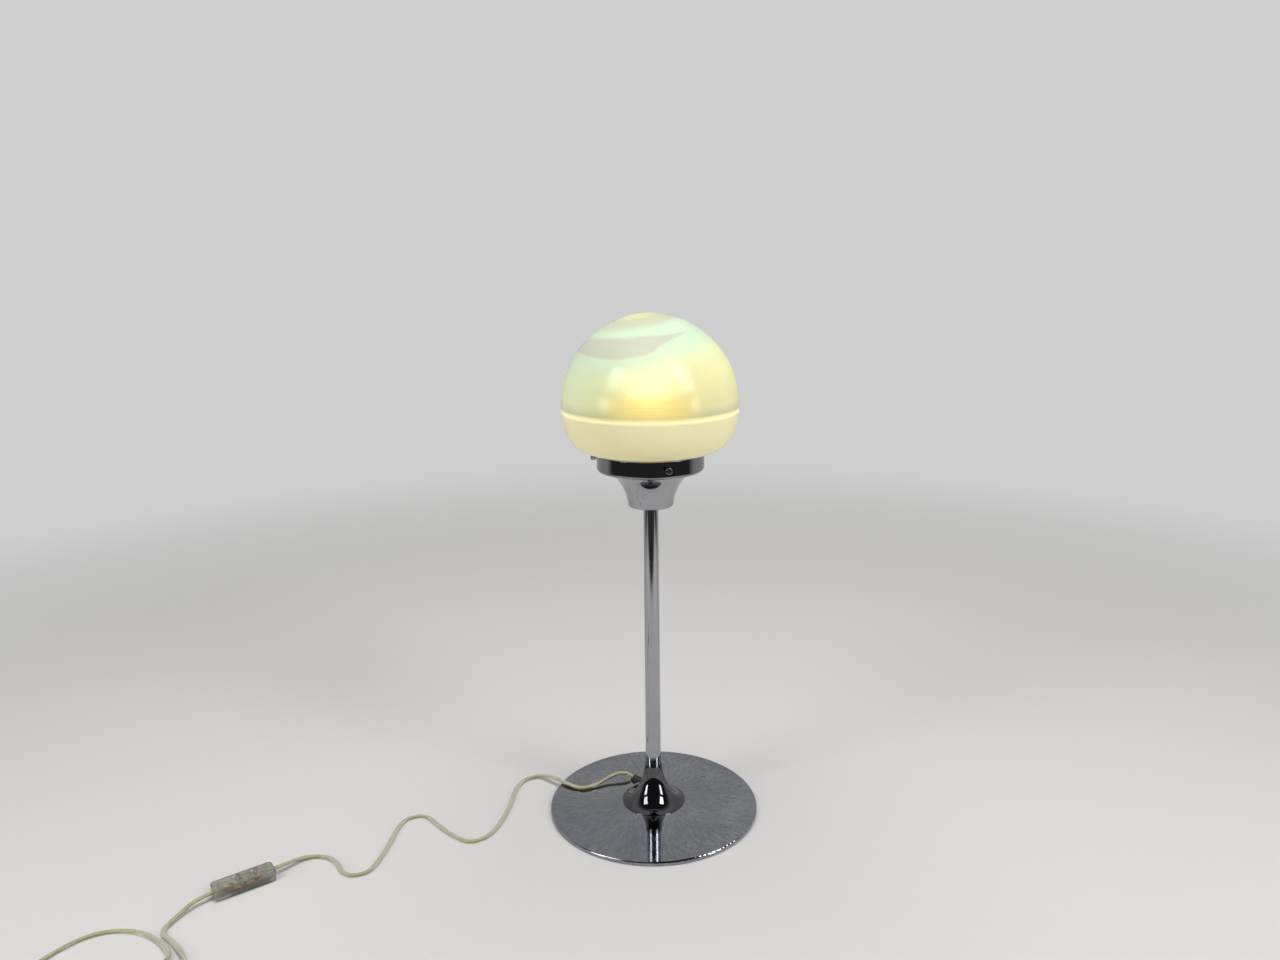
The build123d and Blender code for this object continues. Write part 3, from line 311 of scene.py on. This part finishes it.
def clear_sheath():
    """Clear PVC, yellowed with age."""
    s = Surface("clear_sheath")
    haze = s.noise(220, 4, 0.6)
    s.set(Base_Color=s.mix(haze, linear(150, 148, 98), linear(186, 182, 134)))
    s.set(Roughness=s.range(haze, 0.3, 0.7, 0.10, 0.22), IOR=1.46, Transmission_Weight=0.5)
    return s.bump(haze, 0.0001, 0.3).material


def clear_plastic():
    """Clear switch housing, scuffed and a little yellow."""
    s = Surface("clear_plastic")
    haze = s.noise(160, 5, 0.65)
    scratches = s.noise(300, 3, 0.6, s.scaled(1, 0.1, 1))
    s.set(Base_Color=s.mix(haze, linear(196, 196, 184), linear(222, 222, 214)))
    s.set(Roughness=s.range(haze, 0.3, 0.7, 0.06, 0.18), IOR=1.4, Transmission_Weight=0.9)
    return s.bump(scratches, 0.00006, 0.35).material


def plug_plastic():
    s = Surface("plug_plastic")
    haze = s.noise(120, 4, 0.6)
    s.set(Base_Color=s.mix(haze, linear(190, 191, 146), linear(212, 213, 176)))
    s.set(Roughness=s.range(haze, 0.3, 0.7, 0.2, 0.36), IOR=1.46, Transmission_Weight=0.45)
    return s.bump(s.noise(700, 3, 0.5), 0.00005, 0.4).material


def frosted_bulb():
    """Lit frosted bulb: warm, brightest in the middle of its round part."""
    s = Surface("frosted_bulb")
    frost = s.noise(1500, 3, 0.6)
    height = s.axes()["Z"]
    hot = s.range(height, 0.484, 0.515, 0.3, 1.0, smooth=True)
    warm = s.ramp(s.range(height, 0.480, 0.530), [
        (0.0, linear(255, 196, 104)),
        (0.5, linear(255, 224, 146)),
        (1.0, linear(255, 234, 168)),
    ])
    s.set(Base_Color=linear(250, 244, 226), Roughness=0.45)
    s.set(Emission_Color=warm, Emission_Strength=s.times(hot, 2.6))
    return s.bump(frost, 0.00003, 0.4).material


seam_height = 0.4876
underside_height = 0.4428   # of the globe, where it turns in to its neck


def cloud_bands(s, share):
    """The clouds' colours from the seam, 0, to the top of the dome, 1."""
    return s.ramp(share, [
        (0.00, linear(236, 234, 178)),
        (0.25, linear(242, 240, 184)),
        (0.45, linear(236, 243, 192)),
        (0.58, linear(216, 236, 200)),
        (0.68, linear(208, 230, 200)),
        (0.82, linear(208, 234, 202)),
        (0.88, linear(200, 204, 178)),
        (0.93, linear(206, 206, 170)),
        (0.96, linear(238, 234, 166)),
        (1.00, linear(244, 240, 176)),
    ])


def opal_glass():
    """Blown opal glass: an even cream lining below the seam, cloudy swirled glass above it."""
    s = Surface("opal_glass")
    x, y, z = s.axes()
    warp = s.noise(11, 3, 0.5, s.scaled(1, 1, 1.8))
    streak = s.noise(60, 4, 0.6, s.scaled(0.14, 0.14, 1.6))
    swirl = s.minus(warp, 0.5)
    # The clouds lie in layers that climb to the right and curl up at both sides.
    climb = s.plus(s.times(x, -0.20), s.times(s.times(x, x), -1.7))
    level = s.plus(s.plus(z, climb), s.times(swirl, 0.012))
    level = s.plus(level, s.times(s.minus(streak, 0.5), 0.005))
    share = s.range(level, 0.480, 0.600)
    clouds = cloud_bands(s, share)
    left = s.range(s.plus(x, s.times(swirl, 0.06)), -0.085, -0.015, 1.0, 0.0)
    clouds = s.mix(s.times(left, 0.6), clouds, linear(212, 230, 200))
    # A grey crescent, broad at the left and drawn out to a point at the right.
    breadth = s.range(x, -0.005, 0.048, 0.0095, 0.0)
    crescent = s.range(s.minus(breadth, s.away(level, 0.566)), -0.0005, 0.0035, smooth=True)
    clouds = s.mix(s.times(crescent, 0.9), clouds, linear(200, 203, 186))
    clouds = s.mix(s.times(s.range(streak, 0.35, 0.65), 0.10), clouds, linear(250, 250, 214))
    # Painted warm glow of the bulb low in the glass in front of it, crossed by fine ripples that show
    # only within that painted glow.
    middle = s.range(s.away(x, 0.004), 0.020, 0.062, 1.0, 0.0, smooth=True)
    low = s.range(s.away(z, 0.5025), 0.006, 0.016, 1.0, 0.0, smooth=True)
    warm = s.times(middle, low)
    wave = s.maths("SINE", s.plus(s.times(z, 2700.0), s.times(warp, 9.0)))
    ripple = s.times(s.range(wave, 0.2, 1.0), s.times(warm, s.range(streak, 0.40, 0.60)))
    # Painted grey shade just above the seam, then the seam, a real fold, painted as a bright glowing
    # line.
    above = s.range(z, seam_height + 0.0006, seam_height + 0.0016)
    shadow = s.range(z, seam_height + 0.004, seam_height + 0.017, 1.0, 0.0, smooth=True)
    clouds = s.mix(s.times(shadow, 0.7), clouds, linear(202, 206, 170))
    clouds = s.mix(s.times(warm, 0.85), clouds, linear(252, 232, 152))
    clouds = s.mix(s.times(ripple, 0.6), clouds, linear(222, 186, 96))
    rise = s.range(z, underside_height, seam_height)
    lining = s.mix(rise, linear(230, 222, 172), linear(234, 228, 182))
    colour = s.mix(above, lining, clouds)
    line = s.range(s.away(z, seam_height + 0.0014), 0.0010, 0.0042, 1.0, 0.0, smooth=True)
    colour = s.mix(line, colour, linear(252, 246, 190))
    s.set(Base_Color=colour, Roughness=0.10, IOR=1.5, Specular_IOR_Level=0.22)
    # Painted glow: the glass is given emission for the bulb's light coming through it, least at its
    # cloudy top and most along the seam.
    glow = s.ramp(share, [
        (0.00, 0.06), (0.25, 0.13), (0.45, 0.07), (0.60, 0.03), (0.85, 0.02), (0.97, 0.03),
    ])
    glow = s.mix(s.times(crescent, 0.8), glow, grey(0.0))
    glow = s.mix(warm, glow, grey(0.17))
    glow = s.mix(above, grey(0.14), glow)
    glow = s.mix(line, glow, grey(0.26))
    s.set(Emission_Color=colour, Emission_Strength=glow)
    s.bump(s.noise(24, 3, 0.5, s.scaled(1, 1, 1.6)), 0.0004, 0.2)
    # The bulb shows dimly through the thinner glass in front of it.
    clear = s.add("ShaderNodeBsdfGlass")
    clear.inputs["Roughness"].default_value = 0.8
    clear.inputs["IOR"].default_value = 1.2
    s.feed(clear.inputs["Color"], s.mix(0.35, grey(1.0), colour))
    see = s.ramp(share, [
        (0.00, 0.24), (0.22, 0.32), (0.40, 0.30), (0.50, 0.14), (0.58, 0.04), (1.00, 0.02),
    ])
    see = s.mix(above, grey(0.0), see)
    see = s.times(see, s.range(s.size(x), 0.040, 0.080, 1.0, 0.45, smooth=True))
    s.blend_shaders(see, s.shader.outputs[0], clear.outputs[0])
    return s.material


def glass_inside():
    """The inner face of the globe: cream lining below the seam, clear above it."""
    s = Surface("glass_inside")
    height = s.axes()["Z"]
    haze = s.noise(90, 3, 0.5)
    s.set(Base_Color=s.mix(haze, linear(228, 222, 176), linear(238, 233, 196)))
    s.set(Roughness=s.range(haze, 0.3, 0.7, 0.15, 0.3))
    clear = s.add("ShaderNodeBsdfTransparent")
    clear.inputs["Color"].default_value = (0.98, 0.98, 0.94, 1)
    above = s.range(height, seam_height - 0.001, seam_height + 0.001)
    s.blend_shaders(s.times(above, 0.9), s.shader.outputs[0], clear.outputs[0])
    return s.material


pale_grey = 0.62            # strength of the background that the camera sees
dark_end = 0.045            # and of the dark end of the studio that mirrors see


def floor_paint():
    """Pale paint with the lamp's shadow near it. Far off it is an even pale grey, and mirrors see the
    dark end of a studio in front of the lamp and its pale end behind."""
    s = Surface("pale_floor")
    grain = s.noise(500, 4, 0.6)
    s.set(Base_Color=s.mix(grain, linear(202, 201, 199), linear(212, 211, 209)), Roughness=0.8)
    s.bump(grain, 0.0002, 0.3)
    x, y, z = s.axes()
    far = s.range(s.radius(x, y), 0.9, 2.1, smooth=True)
    aside = s.larger(s.range(s.size(x), 1.0, 1.3), s.range(y, -0.9, -0.75, 1.0, 0.0))
    paths = s.add("ShaderNodeLightPath").outputs
    seen = s.larger(paths["Is Camera Ray"], paths["Is Transmission Ray"])
    mirrored = paths["Is Glossy Ray"]
    share = s.plus(s.times(seen, far), s.times(mirrored, s.larger(aside, far)))
    studio = s.range(y, -0.1, 0.5, dark_end, 0.48)
    plain = s.add("ShaderNodeEmission")
    s.feed(plain.inputs["Strength"], s.plus(s.times(seen, pale_grey), s.times(mirrored, studio)))
    s.blend_shaders(share, s.shader.outputs[0], plain.outputs[0])
    return s.material


# ---------------------------------------------------------------- mesh helpers
def add_piece(name, verts, faces, materials, body, face_slots=None):
    mesh = bpy.data.meshes.new(name)
    mesh.from_pydata(verts, [], faces)
    for material in materials:
        mesh.materials.append(material)
    for i, polygon in enumerate(mesh.polygons):
        polygon.use_smooth = True
        if face_slots:
            polygon.material_index = face_slots[i]
    mesh.update()
    piece = bpy.data.objects.new(name, mesh)
    bpy.context.scene.collection.objects.link(piece)
    if body:
        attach(piece, body)
    return piece


def lathe(profile, sides, relief):
    """Vertices and faces of a profile of (radius, height) turned about Z; ends on the axis close.
    The function relief gives what is added to the radius at a height and angle."""
    verts, faces, rows = [], [], []
    for radius, height in profile:
        if radius < 1e-7:
            rows.append([len(verts)])
            verts.append((0.0, 0.0, height))
            continue
        rows.append(range(len(verts), len(verts) + sides))
        for k in range(sides):
            angle = 2 * pi * k / sides
            r = radius + relief(height, angle)
            verts.append((r * cos(angle), r * sin(angle), height))
    for low, high in zip(rows, rows[1:]):
        for k in range(sides):
            j = (k + 1) % sides
            if len(low) == 1:
                faces.append((low[0], high[j], high[k]))
            elif len(high) == 1:
                faces.append((low[k], low[j], high[0]))
            else:
                faces.append((low[k], low[j], high[j], high[k]))
    return verts, faces


def bezier(p0, p1, p2, p3, steps):
    points = []
    for i in range(steps + 1):
        t = i / steps
        u = 1 - t
        points.append(tuple(
            u**3 * a + 3 * u * u * t * b + 3 * u * t * t * c + t**3 * d
            for a, b, c, d in zip(p0, p1, p2, p3)
        ))
    return points


def paint(material, *names):
    for name in names:
        mesh = nodes[name].data
        mesh.materials.clear()
        mesh.materials.append(material)


# ---------------------------------------------------------------- glass globe
neck_radius = 0.0555
neck_height = 0.4230        # where the neck's wall ends and its round lip begins
widest_height = 0.492
flat_radius = 0.0665        # where the flat underside turns up into the belly
glass_thickness = 0.003


def globe_profile(inset, steps):
    """From the neck's lip up the wall to the top; inset moves the wall inward."""
    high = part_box("glass_globe")[1]
    widest = high.x - inset
    top = high.z - inset
    neck = neck_radius - inset
    under = underside_height + inset
    bend = 0.004 + inset
    belly_reach = 0.0235 - 0.6 * inset
    belly_drop = 0.0227 - 0.4 * inset
    wall = [(neck, neck_height), (neck, under - bend - 0.006), (neck, under - bend)]
    corner = [
        (neck + bend - bend * cos(a), under - bend + bend * sin(a))
        for a in (radians(90 * i / 8) for i in range(1, 9))
    ]
    belly = bezier(
        (flat_radius, under),
        (flat_radius + belly_reach, under),
        (widest, widest_height - belly_drop),
        (widest, widest_height),
        steps,
    )
    dome = [
        (widest * cos(a), widest_height + (top - widest_height) * sin(a))
        for a in (radians(90 * i / steps) for i in range(1, steps))
    ]
    return wall + corner + belly + dome + [(0.0, top)]


def seam_bead(height, angle):
    """The fold where the lined lower part ends: a low rounded ridge in a shallow groove."""
    depth = 0.0004
    away = height - seam_height - 0.0003 * sin(3 * angle)
    groove = exp(-((away / 0.009) ** 2))
    ridge = 1 / (1 + (away / 0.0011) ** 2)
    return depth * groove * (ridge - 1)


def make_globe():
    sides = 160
    outer = globe_profile(0.0, 96)
    inner = globe_profile(glass_thickness, 48)
    half = glass_thickness / 2
    lip = [
        (neck_radius - half * (1 - cos(a)), neck_height - half * sin(a))
        for a in (radians(180 * i / 8) for i in range(1, 8))
    ]
    profile = list(reversed(outer)) + lip + inner
    verts, faces = lathe(profile, sides, seam_bead)
    # The profile runs from the outer top down and back up inside, so its faces are flipped outward.
    faces = [tuple(reversed(face)) for face in faces]
    outer_faces = (len(outer) + len(lip) - 1) * sides
    slots = [0 if i < outer_faces else 1 for i in range(len(faces))]
    globe = add_piece("globe_glass", verts, faces, [opal_glass(), glass_inside()], "globe", slots)
    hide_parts("glass_globe", "globe_neck")


# ---------------------------------------------------------------- bulb cap
def make_bulb_cap():
    """The bulb's cap: a rolled E27 thread, as a helical wave on a thin open cylinder."""
    low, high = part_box("bulb_cap")
    depth = 0.0008
    wall = 0.0004
    pitch = 0.00363
    fade_length = 0.002
    steps = 64

    def thread(height, angle):
        fade = min(1.0, (height - low.z) / fade_length, (high.z - height) / fade_length)
        return depth * max(0.0, fade) * (0.5 - 0.5 * cos(2 * pi * height / pitch - angle))

    outside = [(high.x - depth, low.z + (high.z - low.z) * i / steps) for i in range(steps + 1)]
    inside = [(r - wall, h) for r, h in reversed(outside)]
    verts, faces = lathe(outside + inside + outside[:1], 72, thread)
    cap = add_piece("bulb_cap_thread", verts, faces, list(nodes["bulb_cap"].data.materials), "bulb")
    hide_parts("bulb_cap")


# ---------------------------------------------------------------- flex
cord_width = 0.0054
cord_thickness = 0.0027
lobe = cord_thickness / 2
lobe_centre = cord_width / 2 - lobe
conductor = 0.0008          # radius of each stranded core inside the sheath
coil_centre = Vector((-0.462, -0.325, 0))
coil_outer = 0.0344         # radius where the flex joins the coil
coil_pitch = 0.006          # from one turn to the next, across
coil_layer = 0.006          # from the lower layer to the upper
coil_low = 0.0039           # height of the lower layer's middle
coil_turns_in = 1.5         # inward below, and as many outward on top
coil_turns_up = 0.5
coil_start = 20             # degrees round the coil where the flex joins it
on_table = 0.0014           # middle of the flat flex where it lies on the table
on_edge = 0.0028            # and where it stands on its edge
flat_from = 0.072           # from the coil's centre, where the flex begins to turn on its edge
edge_from = 0.046           # and where it has turned

lamp_route = [
    (-0.0184, 0.0451, 0.0045),
    (-0.0305, 0.0507, 0.0146),
    (-0.0455, 0.0490, 0.0154),
    (-0.0600, 0.0410, 0.0114),
    (-0.0740, 0.0290, 0.0092),
    (-0.0910, 0.0240, 0.0084),
    (-0.1070, 0.0350, 0.0080),
    (-0.1250, 0.0510, 0.0084),
    (-0.1460, 0.0670, 0.0034),
    (-0.1665, 0.0585, on_table),
    (-0.1740, 0.0340, on_table),
    (-0.1750, 0.0020, on_table),
    (-0.1800, -0.0340, on_table),
    (-0.1900, -0.0670, on_table),
    (-0.2110, -0.0810, on_table),
    (-0.2330, -0.0660, on_table),
    (-0.2560, -0.0430, on_table),
    (-0.2730, -0.0220, on_table),
    (-0.2960, -0.0280, on_table),
    (-0.3020, -0.0530, on_table),
    (-0.3030, -0.0820, on_table),
    (-0.3070, -0.1140, on_table),
    (-0.3130, -0.1370, on_table),
    (-0.3370, -0.1415, on_table),
    (-0.3545, -0.1120, on_table),
    (-0.3770, -0.1025, on_table),
    (-0.3970, -0.1120, 0.0036),
    (-0.4068, -0.1273, 0.00675),
    (-0.4229, -0.1394, 0.00675),
]


def coil_point(turns):
    """The flex's middle after a number of turns: in on the table, up a layer, and out on top."""
    up = turns - coil_turns_in
    out = up - coil_turns_up
    inner = coil_outer - coil_pitch * coil_turns_in
    if up <= 0:
        radius, height = coil_outer - coil_pitch * turns, coil_low
    elif out >= 0:
        radius, height = inner + coil_pitch * out, coil_low + coil_layer
    else:
        share = up / coil_turns_up
        radius = inner - coil_pitch * up * (1 - share)
        height = coil_low + coil_layer * share * share * (3 - 2 * share)
    angle = radians(coil_start - 360 * turns)
    return coil_centre + Vector((radius * cos(angle), radius * sin(angle), height))


def coil_points():
    each_turn = 16
    turns = 2 * coil_turns_in + coil_turns_up
    return [tuple(coil_point(i / each_turn)) for i in range(round(turns * each_turn) + 1)]


mains_start = [
    (-0.4591, -0.1710, 0.00675),
    (-0.4766, -0.1843, 0.00675),
    (-0.4870, -0.2050, 0.0030),
    (-0.4955, -0.2315, on_table),
    (-0.4720, -0.2475, on_table),
    (-0.4525, -0.2695, on_edge),
    (-0.4375, -0.2894, 0.0037),
    (-0.4312, -0.3082, coil_low),
]
mains_end = [
    (-0.4961, -0.3314, 0.0099),
    (-0.5021, -0.3144, 0.0096),
    (-0.4915, -0.2940, 0.0046),
    (-0.4710, -0.2850, on_edge),
    (-0.4670, -0.2654, on_edge),
    (-0.4870, -0.2455, on_table),
    (-0.5130, -0.2305, on_table),
    (-0.5410, -0.2275, on_table),
    (-0.5660, -0.2360, on_table),
    (-0.5840, -0.2580, on_table),
    (-0.5970, -0.2860, on_table),
    (-0.5913, -0.3065, 0.0060),
    (-0.5714, -0.3158, 0.00675),
]


def smooth_line(points):
    """Points read from a NURBS curve through the route's control points."""
    curve = bpy.data.curves.new("route", "CURVE")
    curve.dimensions = "3D"
    curve.resolution_u = 8
    spline = curve.splines.new("NURBS")
    spline.points.add(len(points) - 1)
    for point, place in zip(spline.points, points):
        point.co = (*place, 1.0)
    spline.order_u = 3
    spline.use_endpoint_u = True
    holder = bpy.data.objects.new("route", curve)
    bpy.context.scene.collection.objects.link(holder)
    bpy.context.view_layer.update()
    evaluated = holder.evaluated_get(bpy.context.evaluated_depsgraph_get())
    mesh = bpy.data.meshes.new_from_object(evaluated)
    line = [vertex.co.copy() for vertex in mesh.vertices]
    bpy.data.objects.remove(holder)
    bpy.data.curves.remove(curve)
    bpy.data.meshes.remove(mesh)
    return line


def twin_outline():
    """Cross-section of a flat twin flex: two round lobes joined by a thin web."""
    points = 12
    outline = []
    for side in (1, -1):
        for i in range(points):
            angle = radians(-140 + 280 * i / (points - 1)) + (0 if side == 1 else pi)
            outline.append((side * lobe_centre + lobe * cos(angle), lobe * sin(angle)))
    return outline


def core_outline(side):
    """Cross-section of the stranded core in one lobe."""
    points = 8
    return [
        (side * lobe_centre + conductor * cos(2 * pi * i / points), conductor * sin(2 * pi * i / points))
        for i in range(points)
    ]


def turned_on_edge(point):
    """How far the flex has turned on its edge near the coil, from 0 to 1."""
    away = hypot(point.x - coil_centre.x, point.y - coil_centre.y)
    share = min(1.0, max(0.0, (flat_from - away) / (flat_from - edge_from)))
    return share * share * (3 - 2 * share)


def sweep_outlines(line, outlines):
    """A tube of each outline along the line, flat side down, closed at both ends."""
    verts, faces, slots = [], [], []
    frames = []
    for i, point in enumerate(line):
        ahead = line[min(i + 1, len(line) - 1)]
        behind = line[max(i - 1, 0)]
        along = (ahead - behind).normalized()
        side = along.cross(Vector((0, 0, 1))).normalized()
        up = side.cross(along).normalized()
        turn = turned_on_edge(point) * pi / 2
        frames.append((point, side * cos(turn) + up * sin(turn), up * cos(turn) - side * sin(turn)))
    for slot, outline in outlines:
        first = len(verts)
        count = len(outline)
        for point, side, up in frames:
            verts += [tuple(point + side * u + up * v) for u, v in outline]
        for i in range(len(frames) - 1):
            low = first + i * count
            for k in range(count):
                j = (k + 1) % count
                faces.append((low + k, low + j, low + count + j, low + count + k))
                slots.append(slot)
        last = first + (len(frames) - 1) * count
        faces.append(tuple(reversed(range(first, first + count))))
        faces.append(tuple(range(last, last + count)))
        slots += [slot, slot]
    return verts, faces, slots


def make_flex(name, route, cad_nodes, materials):
    """One stretch of the flex, in its sheath's and its two cores' materials; the CAD nodes it replaces
    are hidden.
    """
    line = smooth_line(route)
    outlines = [(0, twin_outline()), (1, core_outline(1)), (2, core_outline(-1))]
    verts, faces, slots = sweep_outlines(line, outlines)
    flex = add_piece(name, verts, faces, materials, "lamp_stand", slots)
    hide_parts(*cad_nodes)


# ---------------------------------------------------------------- dress the CAD nodes
def dress_nodes():
    paint(polished_foot(), "base_shell")
    paint(cast_iron(), "base_ballast")
    paint(felt(), "base_felt")
    paint(
        polished_chrome(), "stem_tube", "gallery_cup", "thumbscrew_front", "thumbscrew_rear",
        "thumbscrew_left",
    )
    # The gallery's and the bell's chrome are darker copies of the stem's plating: painted shade for the
    # dark surroundings they mirror.
    paint(chrome_with_painted_shade("gallery_chrome_painted_shade", linear(132, 133, 136), linear(150, 151, 154)), "gallery_ring")
    paint(chrome_with_painted_shade("bell_chrome_painted_shade", linear(84, 84, 87), linear(100, 100, 103)), "bell_cover")
    paint(
        steel(), "base_nut", "base_washer", "base_stud", "stem_foot_bush", "stem_top_bush",
        "anchor_screws", "top_nipple", "cup_nut", "gallery_washer", "gallery_nut", "switch_screws",
        "switch_pivot", "plug_pins", "bulb_tip",
    )
    paint(brass(), "screw_bushes", "holder_contacts", "holder_terminals", "switch_contacts")
    paint(aluminium(), "holder_screw_shell", "bulb_cap")
    paint(ceramic(), "holder_insert")
    paint(moulded_plastic(), "holder_cap", "holder_sleeve", "lead_anchor")
    paint(black_rubber(), "cord_grommet", "bulb_insulator", "plug_sleeves")
    insulation = copper_strands("core_insulation", linear(150, 96, 60), linear(188, 130, 86))
    paint(insulation, "inner_lead", "switch_core")
    paint(clear_plastic(), "switch_base", "switch_cover", "switch_rocker", "switch_clamps", "cord_tie")
    paint(frosted_bulb(), "bulb_glass")
    paint(plug_plastic(), "plug_body")


# ---------------------------------------------------------------- stage, light and camera
def make_stage():
    """A pale floor that curves up into a plain backdrop far behind the lamp."""
    front, back = -5.0, 2.6
    half, height = 5.0, 4.0
    rise = 0.9
    curve = [
        (back - rise + rise * sin(a), rise - rise * cos(a))
        for a in (radians(90 * i / 16) for i in range(17))
    ]
    profile = [(front, 0.0)] + curve + [(back, height)]
    verts = [(x, y, z) for y, z in profile for x in (-half, half)]
    faces = [(2 * i, 2 * i + 1, 2 * i + 3, 2 * i + 2) for i in range(len(profile) - 1)]
    floor = add_piece("floor", verts, faces, [floor_paint()], None)


def area_light(name, place, aim, width, height, power, spread=180):
    light = bpy.data.lights.new(name, "AREA")
    light.shape = "RECTANGLE"
    light.size = width
    light.size_y = height
    light.energy = power
    light.spread = radians(spread)
    lamp = bpy.data.objects.new(name, light)
    lamp.location = place
    lamp.rotation_euler = (Vector(aim) - Vector(place)).to_track_quat("-Z", "Y").to_euler()
    lamp.visible_camera = False
    bpy.context.scene.collection.objects.link(lamp)
    return lamp


def make_world():
    """Dim grey light all round; the camera, glass and mirrors facing back see it pale."""
    world = bpy.data.worlds.new("studio")
    world.use_nodes = True
    tree = world.node_tree
    paths = tree.nodes.new("ShaderNodeLightPath").outputs
    heading = tree.nodes.new("ShaderNodeTexCoord").outputs["Generated"]
    across = tree.nodes.new("ShaderNodeSeparateXYZ")
    tree.links.new(heading, across.inputs[0])
    behind = tree.nodes.new("ShaderNodeMapRange")
    behind.interpolation_type = "SMOOTHSTEP"
    behind.inputs["From Min"].default_value = -0.15
    behind.inputs["From Max"].default_value = 0.35
    tree.links.new(across.outputs["Y"], behind.inputs["Value"])

    def join(operation, first, second):
        node = tree.nodes.new("ShaderNodeMath")
        node.operation = operation
        tree.links.new(first, node.inputs[0])
        tree.links.new(second, node.inputs[1])
        return node.outputs[0]

    seen = join("MAXIMUM", paths["Is Camera Ray"], paths["Is Transmission Ray"])
    mirrored = join("MULTIPLY", paths["Is Glossy Ray"], behind.outputs[0])
    colour = tree.nodes.new("ShaderNodeMix")
    colour.data_type = "RGBA"
    colour.inputs["A"].default_value = (dark_end, dark_end, 0.05, 1)
    colour.inputs["B"].default_value = (pale_grey, pale_grey, 0.615, 1)
    tree.links.new(join("MAXIMUM", seen, mirrored), colour.inputs["Factor"])
    tree.links.new(colour.outputs["Result"], tree.nodes["Background"].inputs["Color"])
    bpy.context.scene.world = world


def make_lights():
    """Two high soft lamps, two low ones whose narrow beams make the bell's highlights, and a wide
    one overhead that mirrors don't see."""
    head = (0, 0, 0.35)
    foot = (0, 0, 0.06)
    area_light("key_right", (1.57, -1.22, 1.78), head, 0.75, 1.1, 26)
    area_light("key_left", (-1.57, -1.22, 1.78), head, 0.75, 1.1, 19)
    area_light("window_right", (1.70, -1.06, 0.56), foot, 0.50, 0.62, 1.3, spread=70)
    area_light("window_left", (-1.70, -1.06, 0.56), foot, 0.50, 0.62, 1.3, spread=70)
    overhead = area_light("overhead", (0, 0.35, 2.9), (0, 0.35, 0), 2.8, 2.2, 54)
    overhead.visible_glossy = False


def make_camera():
    """The photograph's view: height, tilt and lens fitted to the foot's rim and the globe's seam."""
    camera = bpy.data.cameras.new("photo_view")
    camera.sensor_width = 36
    camera.lens = 27.80
    holder = bpy.data.objects.new("photo_view", camera)
    bpy.context.scene.collection.objects.link(holder)
    turn = Matrix.Rotation(radians(0.6288), 4, "Z")
    tilt = Matrix.Rotation(radians(90 - 12.9876), 4, "X")
    roll = Matrix.Rotation(radians(-0.69935), 4, "Z")
    holder.matrix_world = Matrix.Translation((0, -1.0881, 0.6584)) @ turn @ tilt @ roll
    bpy.context.scene.camera = holder


# ---------------------------------------------------------------- build the scene
make_camera()
make_stage()
make_world()
make_lights()
dress_nodes()
make_globe()
make_bulb_cap()

flex_materials = [
    clear_sheath(),
    copper_strands("copper_core", linear(120, 96, 52), linear(176, 150, 92)),
    copper_strands("tinned_core", linear(128, 118, 84), linear(182, 176, 140)),
]
mains_route = mains_start + coil_points() + mains_end
mains_nodes = ["cord_mains_run", "cord_coil", "cord_tail"]
make_flex("flex_to_switch", lamp_route, ["cord_lamp_run"],
          flex_materials)
make_flex("flex_to_plug", mains_route, mains_nodes, flex_materials)

bpy.context.scene.view_settings.view_transform = "Standard"
bpy.context.view_layer.update()
